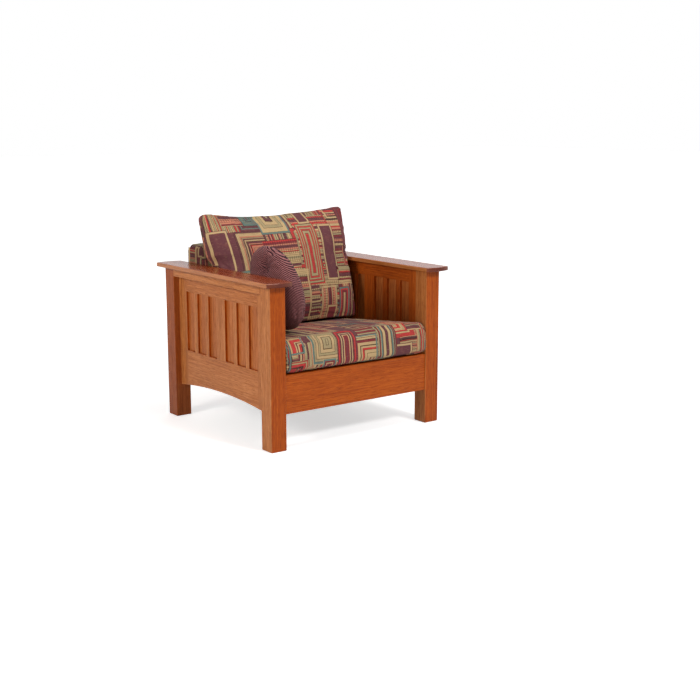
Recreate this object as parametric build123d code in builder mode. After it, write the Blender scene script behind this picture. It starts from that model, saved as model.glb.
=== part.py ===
from build123d import *
import os
from math import cos, dist, pi, radians, sin

# Mission armchair: square posts, flat arms, panelled sides with a lattice on both faces,
# a drop-in seat deck on sinuous springs, a fixed upholstered back and loose cushions.
# Millimetres. The origin is on the floor in the middle of the chair, the front faces -Y,
# and left and right are as seen from the front, so the left side is at -X.

os.makedirs("parts", exist_ok=True)

# Frame
frame_width = 810.0  # over the posts, left to right
frame_depth = 773.0  # over the posts, front to rear
arm_top_height = 635.0
post_size = 67.0
post_edge = 1.5  # chamfer on every long edge
overrun = 5.0  # how far a cut runs past the face that it opens

# Arms
arm_thickness = 16.0
arm_width = 112.5
arm_side_overhang = 27.5
arm_end_overhang = 20.0
arm_bow = 13.0  # how far the ends curve out between their corners
arm_edge = 2.0
cleat_height = 34.0

# Side panels: a lattice on each face of a thin centre panel
panel_recess = 25.0  # from the posts' outer faces
outer_lattice_thickness = 9.0
centre_panel_thickness = 6.0
inner_lattice_thickness = 12.0
panel_end_height = 134.0  # underside at the posts
arch_rise = 23.0
slot_bottom_height = 286.0
outer_slot_top_height = 528.0
inner_slot_top_height = 562.0
stile_width = 58.0
slat_width = 25.0
mullion_width = 64.0
slats_per_half = 2
lattice_edge = 1.0
panel_tongue = 7.5
groove_depth = 8.0
groove_clearance = 0.1

# Lattice joints
rail_stub_length = 10.0
slat_stub_length = 8.0
stub_thickness_share = 0.4
stub_width_share = 0.6
stub_end_gap = 0.5

# Seat rails
rail_setback = 5.0
rail_thickness = 25.0
rail_bottom_height = 138.0
rail_top_drop = 6.0  # below the seat cushion's underside at the posts' front faces
rail_tenon_length = 25.0
rail_tenon_thickness = 10.0
rail_tenon_shoulder = 15.0
tenon_clearance = 0.1
tenon_end_gap = 1.0

# Stub tenons of the posts, blind in the arms
post_tenon_size = 38.0
post_tenon_height = 9.0

# Floor glides
glide_diameter = 24.0
glide_height = 4.0
glide_proud = 1.0
glide_nail_diameter = 3.0
glide_nail_length = 10.0
glide_clearance = 0.1

# Wood screws
screw_diameter = 5.0
screw_head_diameter = 9.5
screw_head_depth = 3.0
screw_tip_diameter = 2.0
screw_sides = 12  # flats in place of round walls keep the faces few
screw_clearance = 0.1
cleat_screw_spacing = 320.0
cleat_screw_end_gap = 5.0  # wood left above the tip in the arm
ledger_screw_spacing = 320.0
ledger_screw_bite = 9.0
back_screw_bite = 24.0
back_screw_heights = (340.0, 540.0)
screws_per_row = 2

# Seat deck, pitched down to the rear
seat_pitch_degrees = 6.0
seat_front_height = 291.0  # underside of the cushion at the posts' front faces
rest_gap = 0.3  # between a loose cushion and what it lies on
deck_side_gap = 1.0
deck_rail_gap = 1.0
deck_back_gap = 0.5
deck_cover_thickness = 1.2
deck_cover_skirt = 36.0
deck_fit = 0.1
deck_pad_thickness = 12.0
deck_bar_thickness = 22.0
deck_bar_width = 50.0
deck_side_bar_width = 45.0
deck_tenon_length = 15.0
deck_tenon_thickness = 8.0
deck_tenon_width = 28.0
dust_cover_thickness = 0.8
dust_cover_gap = 1.0
ledger_width = 36.0
ledger_height = 30.0

# Sinuous springs
spring_count = 3
spring_spacing = 190.0
spring_width = 50.0
spring_turns = 14
spring_wire_size = 3.4  # square, so that the many turns have few faces
spring_clip_gap = 0.1
spring_clip_thickness = 1.2
spring_clip_width = 5.0
spring_clip_base = 16.0
spring_clip_lip = 6.0

# Fixed back
back_top_height = 710.0
back_depth_along = 153.6  # from its front to its rear at the seat, along the seat
back_rear_inset = 34.5  # from the posts' rear faces
back_side_gap = 0.5  # between the pad and the arms
back_crown = 8.0
back_corner_radius = 26.0
back_top_radius = 22.0
back_side_wall = 5.0
back_top_wall = 16.0
back_fit = 0.3
back_bar_thickness = 30.0
back_bar_width = 45.0
back_wing_top_gap = 19.0  # from the arms down to the wings that reach the posts
back_rail_height = 60.0
back_frame_drop = 106.0  # from the seat's front height down to the frame's foot
back_tenon_length = 20.0
back_tenon_thickness = 10.0
back_tenon_shoulder = 10.0
outside_back_thickness = 2.8
webbing_thickness = 1.5
webbing_width = 50.0
webbing_count = 4
webbing_end_inset = 8.0
rear_cleat_width = 36.0
rear_cleat_height = 35.0
rear_cleat_side_gap = 8.0

# Seat cushion, measured square to the seat
seat_cushion_thickness = 130.0
seat_cushion_crown = 11.0
seat_cushion_overhang = 22.0
seat_cushion_side_gap = 0.6
seat_cushion_back_gap = 2.0
seat_cushion_front_radius = 42.0
seat_cushion_lower_radius = 24.0
seat_cushion_rear_radius = 16.0
seat_cushion_draw_in = 7.0
seat_place_shares = (0.0, 0.3, 0.6, 0.8, 0.92, 1.0)  # sections across half the width
seat_crown_loss_share = 0.9  # of the crown, at the sides
seat_draw_in_power = 8  # how late the draw-in starts towards the sides

# Back cushion, a loose pillow with a knife edge, measured in its leaning plane
back_cushion_lean_degrees = 15.5  # from upright
back_cushion_seam_inset = 156.0  # the seam's top corners, in front of the fixed back's rear
back_cushion_top_height = 838.0
back_cushion_height = 505.0
back_cushion_arm_overlap = 17.0  # how far it reaches over each arm
back_cushion_front_fullness = 92.0
back_cushion_rear_fullness = 93.0
back_cushion_edge = 5.0  # half the thickness at the seam
back_cushion_shoulder = 165.0  # from the seam to the full thickness
back_cushion_dip = 22.0  # how far the top seam sags between its corners
back_cushion_arm_gap = 0.5
back_place_shares = (0.0, 0.35, 0.65, 0.85, 0.96, 1.0)  # sections across half the width
back_side_fullness_share = 0.06  # of the fullness, at the side seams
back_swell_power = 4  # how far the fullness holds towards the sides
back_swell_softness_share = 0.6  # how softly it then falls to the seams

# Accent pillow, a round one that leans against the left arm
pillow_radius = 176.0
pillow_half_thickness = 73.0
pillow_edge = 9.0
pillow_rings = 5  # cone bands on each face
pillow_taper_power = 1.5  # how early the face falls away to the seam
pillow_arm_inset = 83.23  # from the arm's inner edge to the middle
pillow_front_inset = 202.5  # from the posts' front faces to the middle
pillow_rise = 147.86  # from the seat cushion's crown at the front to the middle
pillow_turn_degrees = 172.7  # about Z, from +X to the face's direction
pillow_tip_degrees = 15.9  # how far the face looks down

# Faces and heights that follow
post_outer_x = frame_width / 2
post_inner_x = post_outer_x - post_size
post_end_y = frame_depth / 2
bay_y = post_end_y - post_size  # the posts' faces that look at each other
post_centre_x = (post_outer_x + post_inner_x) / 2
post_centre_y = (post_end_y + bay_y) / 2
arm_underside = arm_top_height - arm_thickness
arm_outer_x = post_outer_x + arm_side_overhang
arm_inner_x = arm_outer_x - arm_width
outer_face_x = post_outer_x - panel_recess
panel_outer_x = outer_face_x - outer_lattice_thickness
panel_inner_x = panel_outer_x - centre_panel_thickness
inner_face_x = panel_inner_x - inner_lattice_thickness
rail_outer_y = post_end_y - rail_setback
rail_inner_y = rail_outer_y - rail_thickness
rail_top_height = seat_front_height - rail_top_drop
back_frame_bottom_height = seat_front_height - back_frame_drop
slot_width = (2 * bay_y - 2 * stile_width - mullion_width - 2 * slats_per_half * slat_width) / (
    2 * slats_per_half + 2
)
pitch = radians(seat_pitch_degrees)
seat_plane = Plane(
    origin=(0, -post_end_y, seat_front_height),
    x_dir=(1, 0, 0),
    z_dir=(0, sin(pitch), cos(pitch)),
)

sides = (("left", -1), ("right", 1))
ends = (("front", -1), ("rear", 1))


def save(piece, name):
    """Names a finished piece and writes it out."""
    piece.part.label = name
    export_step(piece.part, f"parts/{name}.step")


def block(x_faces, y_faces, z_faces, mode=Mode.ADD, base=Plane.XY):
    """Adds or cuts a square block between three pairs of faces of the base plane."""
    low_x, high_x = sorted(x_faces)
    low_y, high_y = sorted(y_faces)
    low_z, high_z = sorted(z_faces)
    with BuildSketch(base.offset(low_z)) as foot:
        with Locations(((low_x + high_x) / 2, (low_y + high_y) / 2)):
            Rectangle(high_x - low_x, high_y - low_y)
    extrude(foot.sketch, amount=high_z - low_z, mode=mode)


def grown(faces, amount):
    """The pair of faces, each moved outwards."""
    low, high = sorted(faces)
    return (low - amount, high + amount)


def about(centre, width):
    """The pair of faces of that width about a centre."""
    return (centre - width / 2, centre + width / 2)


def screw(seat, length):
    """Adds a countersunk screw whose head is flush with the seat plane."""
    with BuildSketch(seat) as head:
        RegularPolygon(screw_head_diameter / 2, screw_sides)
    with BuildSketch(seat.offset(-screw_head_depth)) as neck:
        RegularPolygon(screw_diameter / 2, screw_sides)
    with BuildSketch(seat.offset(-length)) as tip:
        RegularPolygon(screw_tip_diameter / 2, screw_sides)
    loft([head.sketch, neck.sketch, tip.sketch], ruled=True)


def screw_hole(seat, depth, with_head):
    """Cuts the hole for a screw from the seat plane down, with its countersink or without."""
    with BuildSketch(seat.offset(overrun)) as shank_hole:
        Circle(screw_diameter / 2 + screw_clearance)
    extrude(shank_hole.sketch, amount=-depth - overrun, mode=Mode.SUBTRACT)
    if with_head:
        with BuildSketch(seat) as mouth:
            Circle(screw_head_diameter / 2 + screw_clearance)
        with BuildSketch(seat.offset(-screw_head_depth)) as throat:
            Circle(screw_diameter / 2 + screw_clearance)
        loft([mouth.sketch, throat.sketch], mode=Mode.SUBTRACT)


def spaced(spacing, count):
    """Evenly spaced places about the middle."""
    return [(place - (count - 1) / 2) * spacing for place in range(count)]


# Screw places, each a plane on the surface that the head is flush with
def cleat_screw_seats(x_sign):
    """The seats under one arm's cleat, looking down."""
    centre_x = x_sign * (outer_face_x + post_outer_x) / 2
    return [
        Plane(origin=(centre_x, y, arm_underside - cleat_height), x_dir=(1, 0, 0), z_dir=(0, 0, -1))
        for y in spaced(cleat_screw_spacing, screws_per_row)
    ]


deck_thickness = (
    rest_gap + deck_cover_thickness + deck_pad_thickness + deck_fit
    + 2 * spring_clip_thickness + spring_wire_size + 2 * spring_clip_gap + deck_bar_thickness
)


def seat_point(along, above):
    """Y and Z of a place given along the seat from its front and square above it."""
    return (
        -post_end_y + along * cos(pitch) + above * sin(pitch),
        seat_front_height - along * sin(pitch) + above * cos(pitch),
    )


def along_at(y, above):
    """How far along the seat a place above it has that Y."""
    return (y + post_end_y - above * sin(pitch)) / cos(pitch)


def ledger_screw_seats(x_sign):
    """The seats on one ledger's inner face, looking at the middle of the chair."""
    seats = []
    for place in spaced(ledger_screw_spacing, screws_per_row):
        above = -deck_thickness - ledger_height / 2
        height = seat_point(along_at(place, above), above)[1]
        origin = (x_sign * (inner_face_x - ledger_width), place, height)
        seats.append(Plane(origin=origin, x_dir=(0, 1, 0), z_dir=(-x_sign, 0, 0)))
    return seats


back_rear_y = post_end_y - back_rear_inset
back_front_along = along_at(back_rear_y, 0) - back_depth_along
outside_back_y = back_rear_y - outside_back_thickness
back_bar_rear_y = outside_back_y - back_fit / 2
back_bar_front_y = back_bar_rear_y - back_bar_thickness
webbing_front_y = back_bar_front_y - webbing_thickness
back_half_width = arm_inner_x - back_side_gap
back_cavity_x = back_half_width - back_side_wall
back_bar_outer_x = back_cavity_x - back_fit
back_bar_inner_x = back_bar_outer_x - back_bar_width
back_frame_top = back_top_height - back_top_wall - back_fit
back_screw_y = (bay_y + back_bar_rear_y) / 2
back_wing_top = arm_underside - back_wing_top_gap
back_screw_length = post_inner_x - back_bar_inner_x + back_screw_bite


def back_screw_seats(x_sign):
    """The seats on one back stile's inner face, looking at the middle of the chair."""
    return [
        Plane(
            origin=(x_sign * back_bar_inner_x, back_screw_y, height),
            x_dir=(0, 1, 0),
            z_dir=(-x_sign, 0, 0),
        )
        for height in back_screw_heights
    ]


# Posts
rail_tenon_faces_z = grown((rail_bottom_height, rail_top_height), -rail_tenon_shoulder)
rail_centre_y = (rail_outer_y + rail_inner_y) / 2
rail_tenon_faces_y = about(rail_centre_y, rail_tenon_thickness)

for end, y_sign in ends:
    for side, x_sign in sides:
        with BuildPart() as post:
            block(
                (x_sign * post_inner_x, x_sign * post_outer_x),
                (y_sign * bay_y, y_sign * post_end_y),
                (glide_proud, arm_underside),
            )
            chamfer(post.edges().filter_by(Axis.Z), length=post_edge)
            chamfer(post.faces().sort_by(Axis.Z)[0].edges(), length=post_edge)
            block(
                about(x_sign * post_centre_x, post_tenon_size),
                about(y_sign * post_centre_y, post_tenon_size),
                (arm_underside, arm_underside + post_tenon_height),
            )
            # Groove for the side panel's tongue
            block(
                grown((x_sign * panel_inner_x, x_sign * panel_outer_x), groove_clearance),
                (y_sign * (bay_y - overrun), y_sign * (bay_y + groove_depth)),
                (panel_end_height - groove_clearance, arm_underside),
                Mode.SUBTRACT,
            )
            # Mortise for the seat rail
            block(
                (
                    x_sign * (post_inner_x - overrun),
                    x_sign * (post_inner_x + rail_tenon_length + tenon_end_gap),
                ),
                grown([y_sign * face for face in rail_tenon_faces_y], tenon_clearance),
                grown(rail_tenon_faces_z, tenon_clearance),
                Mode.SUBTRACT,
            )
            # Counterbore and nail hole for the floor glide
            with BuildSketch():
                with Locations((x_sign * post_centre_x, y_sign * post_centre_y)):
                    Circle(glide_diameter / 2 + glide_clearance)
            extrude(amount=glide_height, mode=Mode.SUBTRACT)
            with BuildSketch():
                with Locations((x_sign * post_centre_x, y_sign * post_centre_y)):
                    Circle(glide_nail_diameter / 2 + glide_clearance)
            extrude(amount=glide_height + glide_nail_length + tenon_end_gap, mode=Mode.SUBTRACT)
            if end == "rear":
                for seat in back_screw_seats(x_sign):
                    screw_hole(seat, back_screw_length + tenon_end_gap, with_head=False)
        save(post, f"{end}_{side}_post")

with BuildPart() as floor_glides:
    with BuildSketch():
        with GridLocations(2 * post_centre_x, 2 * post_centre_y, 2, 2):
            Circle(glide_diameter / 2)
    extrude(amount=glide_height)
    with BuildSketch(Plane.XY.offset(glide_height)):
        with GridLocations(2 * post_centre_x, 2 * post_centre_y, 2, 2):
            Circle(glide_nail_diameter / 2)
    extrude(amount=glide_nail_length)
save(floor_glides, "floor_glides")

# Arms and the cleats under them
arm_corner_y = post_end_y + arm_end_overhang
arm_middle_x = (arm_inner_x + arm_outer_x) / 2
cleat_screw_length = cleat_height + arm_thickness - cleat_screw_end_gap

for side, x_sign in sides:
    inner_x = x_sign * arm_inner_x
    outer_x = x_sign * arm_outer_x
    middle_x = x_sign * arm_middle_x
    with BuildPart() as arm:
        with BuildSketch(Plane.XY.offset(arm_underside)):
            with BuildLine():
                Line((inner_x, -arm_corner_y), (inner_x, arm_corner_y))
                Line((outer_x, arm_corner_y), (outer_x, -arm_corner_y))
                for y_sign in (-1, 1):
                    ThreePointArc(
                        (inner_x, y_sign * arm_corner_y),
                        (middle_x, y_sign * (arm_corner_y + arm_bow)),
                        (outer_x, y_sign * arm_corner_y),
                    )
            make_face()
        extrude(amount=arm_thickness)
        chamfer(arm.faces().sort_by(Axis.Z)[-1].edges(), length=arm_edge)
        chamfer(arm.faces().sort_by(Axis.Z)[0].edges(), length=arm_edge / 2)
        for y_sign in (-1, 1):
            block(
                grown(about(x_sign * post_centre_x, post_tenon_size), tenon_clearance),
                grown(about(y_sign * post_centre_y, post_tenon_size), tenon_clearance),
                (arm_underside - overrun, arm_underside + post_tenon_height + tenon_clearance),
                Mode.SUBTRACT,
            )
        for seat in cleat_screw_seats(x_sign):
            screw_hole(seat, cleat_screw_length + screw_clearance, with_head=False)
    save(arm, f"{side}_arm")

    with BuildPart() as cleat:
        block(
            (x_sign * outer_face_x, x_sign * post_outer_x),
            (-bay_y, bay_y),
            (arm_underside - cleat_height, arm_underside),
        )
        lower_edges = cleat.edges().filter_by(Axis.Y).group_by(Axis.Z)[0]
        chamfer(lower_edges.sort_by(Axis.X if x_sign < 0 else -Axis.X)[0], length=lattice_edge)
        for seat in cleat_screw_seats(x_sign):
            screw_hole(seat, cleat_height + overrun, with_head=True)
    save(cleat, f"{side}_arm_cleat")

with BuildPart() as cleat_screws:
    for x_sign in (-1, 1):
        for seat in cleat_screw_seats(x_sign):
            screw(seat, cleat_screw_length)
save(cleat_screws, "cleat_screws")


# Side panels
def cut_arch(x_faces):
    """Cuts the long arch under a side, from post to post."""
    low_x, high_x = sorted(x_faces)
    floor_z = panel_end_height - overrun - arch_rise
    with BuildSketch(Plane.YZ.offset(low_x - overrun)) as arch:
        with BuildLine():
            ThreePointArc(
                (-bay_y, panel_end_height),
                (0, panel_end_height + arch_rise),
                (bay_y, panel_end_height),
            )
            Polyline(
                (bay_y, panel_end_height),
                (bay_y + groove_depth, panel_end_height),
                (bay_y + groove_depth, floor_z),
                (-bay_y - groove_depth, floor_z),
                (-bay_y - groove_depth, panel_end_height),
                (-bay_y, panel_end_height),
            )
        make_face()
    extrude(arch.sketch, amount=high_x - low_x + 2 * overrun, mode=Mode.SUBTRACT)


def upright_places():
    """Middle and width of the mullion and of each slat, along the side."""
    places = [(0, mullion_width)]
    for slat in range(slats_per_half):
        place = (mullion_width + slat_width) / 2 + slot_width + slat * (slat_width + slot_width)
        places += [(-place, slat_width), (place, slat_width)]
    return places


rail_end_y = bay_y - stile_width
arch_at_stile = panel_end_height + arch_rise
faces_of_lattice = (
    ("outer", panel_outer_x, outer_face_x, outer_slot_top_height),
    ("inner", panel_inner_x, inner_face_x, inner_slot_top_height),
)

for side, x_sign in sides:
    with BuildPart() as centre_panel:
        panel_x = (x_sign * panel_inner_x, x_sign * panel_outer_x)
        block(panel_x, about(0, 2 * (bay_y + panel_tongue)), (panel_end_height, arm_underside))
        cut_arch(panel_x)
    save(centre_panel, f"{side}_centre_panel")

    for face, panel_side_x, open_side_x, slot_top_height in faces_of_lattice:
        lattice_x = (x_sign * panel_side_x, x_sign * open_side_x)
        thickness = abs(open_side_x - panel_side_x)
        stub_x = about(sum(lattice_x) / 2, thickness * stub_thickness_share)
        upper_rail_z = (slot_top_height, arm_underside)
        lower_rail_z = (panel_end_height, slot_bottom_height)
        upper_stub_z = about(sum(upper_rail_z) / 2, (arm_underside - slot_top_height) * stub_width_share)
        lower_stub_z = about(
            (arch_at_stile + slot_bottom_height) / 2,
            (slot_bottom_height - arch_at_stile) * stub_width_share,
        )

        for name, rail_z, stub_z, slot_z, slot_turn in (
            ("top_rail", upper_rail_z, upper_stub_z, slot_top_height, 1),
            ("bottom_rail", lower_rail_z, lower_stub_z, slot_bottom_height, -1),
        ):
            with BuildPart() as rail:
                block(lattice_x, (-rail_end_y, rail_end_y), rail_z)
                block(stub_x, about(0, 2 * (rail_end_y + rail_stub_length)), stub_z)
                if slot_turn < 0:
                    cut_arch(lattice_x)
                for middle, width in upright_places():
                    block(
                        grown(stub_x, tenon_clearance),
                        grown(about(middle, width * stub_width_share), tenon_clearance),
                        (
                            slot_z - slot_turn * overrun,
                            slot_z + slot_turn * (slat_stub_length + stub_end_gap),
                        ),
                        Mode.SUBTRACT,
                    )
                if name == "bottom_rail" and face == "inner":
                    for seat in ledger_screw_seats(x_sign):
                        screw_hole(seat, ledger_width + ledger_screw_bite + screw_clearance, with_head=False)
            save(rail, f"{side}_{face}_{name}")

        with BuildPart() as stiles:
            for y_sign in (-1, 1):
                block(lattice_x, (y_sign * rail_end_y, y_sign * bay_y), (panel_end_height, arm_underside))
                for stub_z in (upper_stub_z, lower_stub_z):
                    block(
                        grown(stub_x, tenon_clearance),
                        (
                            y_sign * (rail_end_y - overrun),
                            y_sign * (rail_end_y + rail_stub_length + stub_end_gap),
                        ),
                        grown(stub_z, tenon_clearance),
                        Mode.SUBTRACT,
                    )
            cut_arch(lattice_x)
        save(stiles, f"{side}_{face}_stiles")

        with BuildPart() as slats:
            for middle, width in upright_places()[1:]:
                block(lattice_x, about(middle, width), (slot_bottom_height, slot_top_height))
            outward = Axis.X if x_sign * (open_side_x - panel_side_x) > 0 else -Axis.X
            open_faces = slats.faces().filter_by(Axis.X).group_by(outward)[-1]
            chamfer(open_faces.edges().filter_by(Axis.Z), length=lattice_edge)
            for middle, width in upright_places()[1:]:
                block(
                    stub_x,
                    about(middle, width * stub_width_share),
                    grown((slot_bottom_height, slot_top_height), slat_stub_length),
                )
        save(slats, f"{side}_{face}_slats")

        with BuildPart() as mullion:
            block(lattice_x, about(0, mullion_width), (slot_bottom_height, slot_top_height))
            block(
                stub_x,
                about(0, mullion_width * stub_width_share),
                grown((slot_bottom_height, slot_top_height), slat_stub_length),
            )
        save(mullion, f"{side}_{face}_mullion")

# Seat rails, tenoned into the posts
for end, y_sign in ends:
    with BuildPart() as seat_rail:
        block(
            (-post_inner_x, post_inner_x),
            (y_sign * rail_inner_y, y_sign * rail_outer_y),
            (rail_bottom_height, rail_top_height),
        )
        chamfer(seat_rail.edges().filter_by(Axis.X), length=lattice_edge)
        block(
            about(0, 2 * (post_inner_x + rail_tenon_length)),
            [y_sign * face for face in rail_tenon_faces_y],
            rail_tenon_faces_z,
        )
    save(seat_rail, f"{end}_rail")

# Ledgers that the deck lies on, and the cleat that the back frame stands on
for side, x_sign in sides:
    with BuildPart() as ledger:
        ledger_x = sorted((x_sign * (inner_face_x - ledger_width), x_sign * inner_face_x))
        with BuildSketch(Plane.YZ.offset(ledger_x[0])):
            with BuildLine():
                corners = []
                for above, step in ((-deck_thickness, 1), (-deck_thickness - ledger_height, -1)):
                    for y in (-step * bay_y, step * bay_y):
                        corners.append(seat_point(along_at(y, above), above))
                Polyline(*corners, close=True)
            make_face()
        extrude(amount=ledger_width)
        for seat in ledger_screw_seats(x_sign):
            screw_hole(seat, ledger_width + overrun, with_head=True)
    save(ledger, f"{side}_seat_ledger")

with BuildPart() as ledger_screws:
    for x_sign in (-1, 1):
        for seat in ledger_screw_seats(x_sign):
            screw(seat, ledger_width + ledger_screw_bite)
save(ledger_screws, "ledger_screws")

with BuildPart() as rear_cleat:
    block(
        about(0, 2 * (post_inner_x - rear_cleat_side_gap)),
        (rail_inner_y - rear_cleat_width, rail_inner_y),
        (back_frame_bottom_height - rear_cleat_height, back_frame_bottom_height),
    )
save(rear_cleat, "rear_cleat")

# Seat deck. Heights are measured square to the seat, down from the cushion's underside.
deck_half_width = post_inner_x - deck_side_gap
cover_top = -rest_gap
pad_top = cover_top - deck_cover_thickness
pad_bottom = pad_top - deck_pad_thickness
clip_top = pad_bottom - deck_fit
wire_centre = clip_top - spring_clip_thickness - spring_clip_gap - spring_wire_size / 2
bar_top = -deck_thickness + deck_bar_thickness
deck_front = along_at(-rail_inner_y + deck_rail_gap, -deck_thickness)
deck_rear = along_at(back_bar_front_y - webbing_thickness - deck_back_gap, cover_top)
deck_skin = deck_cover_thickness + deck_fit
bar_outer_x = deck_half_width - deck_skin
bar_inner_x = bar_outer_x - deck_side_bar_width
bar_front = deck_front + deck_skin
bar_rear = deck_rear - deck_skin
side_bar_faces = (bar_front + deck_bar_width, bar_rear - deck_bar_width)
bar_faces_z = (-deck_thickness, bar_top)
deck_tenon_z = about(sum(bar_faces_z) / 2, deck_tenon_thickness)
side_bar_centre_x = (bar_outer_x + bar_inner_x) / 2
deck_tenon_x = about(side_bar_centre_x, deck_tenon_width)

for name, outer_face, inner_face in (
    ("front", bar_front, bar_front + deck_bar_width),
    ("rear", bar_rear, bar_rear - deck_bar_width),
):
    inward = 1 if inner_face > outer_face else -1
    with BuildPart() as deck_bar:
        block((-bar_outer_x, bar_outer_x), (outer_face, inner_face), bar_faces_z, base=seat_plane)
        for x_sign in (-1, 1):
            block(
                grown([x_sign * face for face in deck_tenon_x], tenon_clearance),
                (inner_face + inward * overrun, inner_face - inward * (deck_tenon_length + stub_end_gap)),
                grown(deck_tenon_z, tenon_clearance),
                Mode.SUBTRACT,
                seat_plane,
            )
    save(deck_bar, f"deck_{name}_bar")

for side, x_sign in sides:
    with BuildPart() as deck_side_bar:
        block((x_sign * bar_inner_x, x_sign * bar_outer_x), side_bar_faces, bar_faces_z, base=seat_plane)
        block(
            [x_sign * face for face in deck_tenon_x],
            grown(side_bar_faces, deck_tenon_length),
            deck_tenon_z,
            base=seat_plane,
        )
    save(deck_side_bar, f"deck_{side}_bar")

# Sinuous springs: straight bars joined by half turns, laid flat from front bar to rear bar
spring_start = bar_front + deck_bar_width / 2
spring_end = bar_rear - deck_bar_width / 2
spring_pitch = (spring_end - spring_start) / spring_turns
turn_radius = spring_pitch / 2
bar_reach = spring_width / 2 - turn_radius
spring_places = spaced(spring_spacing, spring_count)
spring_plane = seat_plane.offset(wire_centre)

with BuildPart() as seat_springs:
    for middle in spring_places:
        with BuildLine(spring_plane) as wire:
            for turn in range(spring_turns + 1):
                heading = 1 if turn % 2 else -1
                along = spring_start + turn * spring_pitch
                Line((middle - heading * bar_reach, along), (middle + heading * bar_reach, along))
                if turn < spring_turns:
                    ThreePointArc(
                        (middle + heading * bar_reach, along),
                        (middle + heading * (bar_reach + turn_radius), along + turn_radius),
                        (middle + heading * bar_reach, along + spring_pitch),
                    )
        wire_end = Plane(origin=wire.line @ 0, x_dir=spring_plane.y_dir, z_dir=wire.line % 0)
        with BuildSketch(wire_end) as wire_section:
            Rectangle(spring_wire_size, spring_wire_size)
        sweep(sections=wire_section.sketch, path=wire.line)
save(seat_springs, "seat_springs")


def least_gap(path, wire_size, samples, skip):
    """The least gap between stretches of a wire that are more than skip samples apart."""
    points = [path @ (step / samples) for step in range(samples + 1)]
    places = [(point.X, point.Y, point.Z) for point in points]
    gaps = []
    for first in range(len(places)):
        for second in range(first + skip, len(places)):
            gaps.append(dist(places[first], places[second]))
    return min(gaps) - wire_size


samples_per_turn = 16
print(
    "least gap between a spring's turns, mm:",
    round(least_gap(wire.line, spring_wire_size, spring_turns * samples_per_turn, samples_per_turn), 2),
)

# Clips that hold the springs' end bars, closed on the side that the spring pulls to
clip_inner = spring_wire_size / 2 + spring_clip_gap
clip_outer = clip_inner + spring_clip_thickness

with BuildPart() as spring_clips:
    for middle in spring_places:
        for along, closed in ((spring_start, 1), (spring_end, -1)):
            section = Plane(
                origin=spring_plane.from_local_coords((middle - spring_clip_width / 2, along, 0)),
                x_dir=spring_plane.y_dir * closed,
                z_dir=spring_plane.x_dir * closed,
            )
            with BuildSketch(section):
                with BuildLine():
                    Polyline(
                        (-spring_clip_base, -clip_outer),
                        (clip_outer, -clip_outer),
                        (clip_outer, clip_outer),
                        (-spring_clip_lip, clip_outer),
                        (-spring_clip_lip, clip_inner),
                        (clip_inner, clip_inner),
                        (clip_inner, -clip_inner),
                        (-spring_clip_base, -clip_inner),
                        close=True,
                    )
                make_face()
            extrude(amount=spring_clip_width * closed)
save(spring_clips, "spring_clips")

pad_half_width = bar_outer_x
with BuildPart() as deck_pad:
    block((-pad_half_width, pad_half_width), (bar_front, bar_rear), (pad_bottom, pad_top), base=seat_plane)
save(deck_pad, "deck_pad")

with BuildPart() as deck_cover:
    block(
        (-deck_half_width, deck_half_width),
        (deck_front, deck_rear),
        (cover_top - deck_cover_skirt, cover_top),
        base=seat_plane,
    )
    block(
        grown((-bar_outer_x, bar_outer_x), deck_fit),
        grown((bar_front, bar_rear), deck_fit),
        (cover_top - deck_cover_skirt - overrun, pad_top),
        Mode.SUBTRACT,
        seat_plane,
    )
save(deck_cover, "deck_cover")

dust_half_width = inner_face_x - ledger_width - dust_cover_gap
with BuildPart() as dust_cover:
    block(
        (-dust_half_width, dust_half_width),
        (bar_front, bar_rear),
        (-deck_thickness - dust_cover_thickness, -deck_thickness),
        base=seat_plane,
    )
save(dust_cover, "dust_cover")

# Frame of the fixed back
back_bar_faces_y = (back_bar_front_y, back_bar_rear_y)
back_tenon_y = about(sum(back_bar_faces_y) / 2, back_tenon_thickness)
back_rails = (
    ("top", (back_frame_top - back_rail_height, back_frame_top)),
    ("bottom", (back_frame_bottom_height, back_frame_bottom_height + back_rail_height)),
)

for name, rail_z in back_rails:
    with BuildPart() as back_rail:
        block((-back_bar_inner_x, back_bar_inner_x), back_bar_faces_y, rail_z)
        block(
            about(0, 2 * (back_bar_inner_x + back_tenon_length)),
            back_tenon_y,
            grown(rail_z, -back_tenon_shoulder),
        )
    save(back_rail, f"back_{name}_rail")

for side, x_sign in sides:
    with BuildPart() as back_stile:
        block(
            (x_sign * back_bar_inner_x, x_sign * back_bar_outer_x),
            back_bar_faces_y,
            (back_frame_bottom_height, back_frame_top),
        )
        # Wing below the arm, out to the post
        block(
            (x_sign * back_bar_outer_x, x_sign * post_inner_x),
            back_bar_faces_y,
            (back_frame_bottom_height, back_wing_top),
        )
        for name, rail_z in back_rails:
            block(
                (
                    x_sign * (back_bar_inner_x - overrun),
                    x_sign * (back_bar_inner_x + back_tenon_length + stub_end_gap),
                ),
                grown(back_tenon_y, tenon_clearance),
                grown(grown(rail_z, -back_tenon_shoulder), tenon_clearance),
                Mode.SUBTRACT,
            )
        for seat in back_screw_seats(x_sign):
            screw_hole(seat, post_inner_x - back_bar_inner_x + overrun, with_head=True)
    save(back_stile, f"back_{side}_stile")

with BuildPart() as back_screws:
    for x_sign in (-1, 1):
        for seat in back_screw_seats(x_sign):
            screw(seat, back_screw_length)
save(back_screws, "back_screws")

web_bottom = back_frame_bottom_height + back_rail_height
web_pitch = (back_frame_top - back_rail_height - web_bottom) / webbing_count
with BuildPart() as back_webbing:
    for band in range(webbing_count):
        block(
            about(0, 2 * (back_bar_outer_x - webbing_end_inset)),
            (webbing_front_y, back_bar_front_y),
            about(web_bottom + (band + 1 / 2) * web_pitch, webbing_width),
        )
save(back_webbing, "back_webbing")

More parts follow.
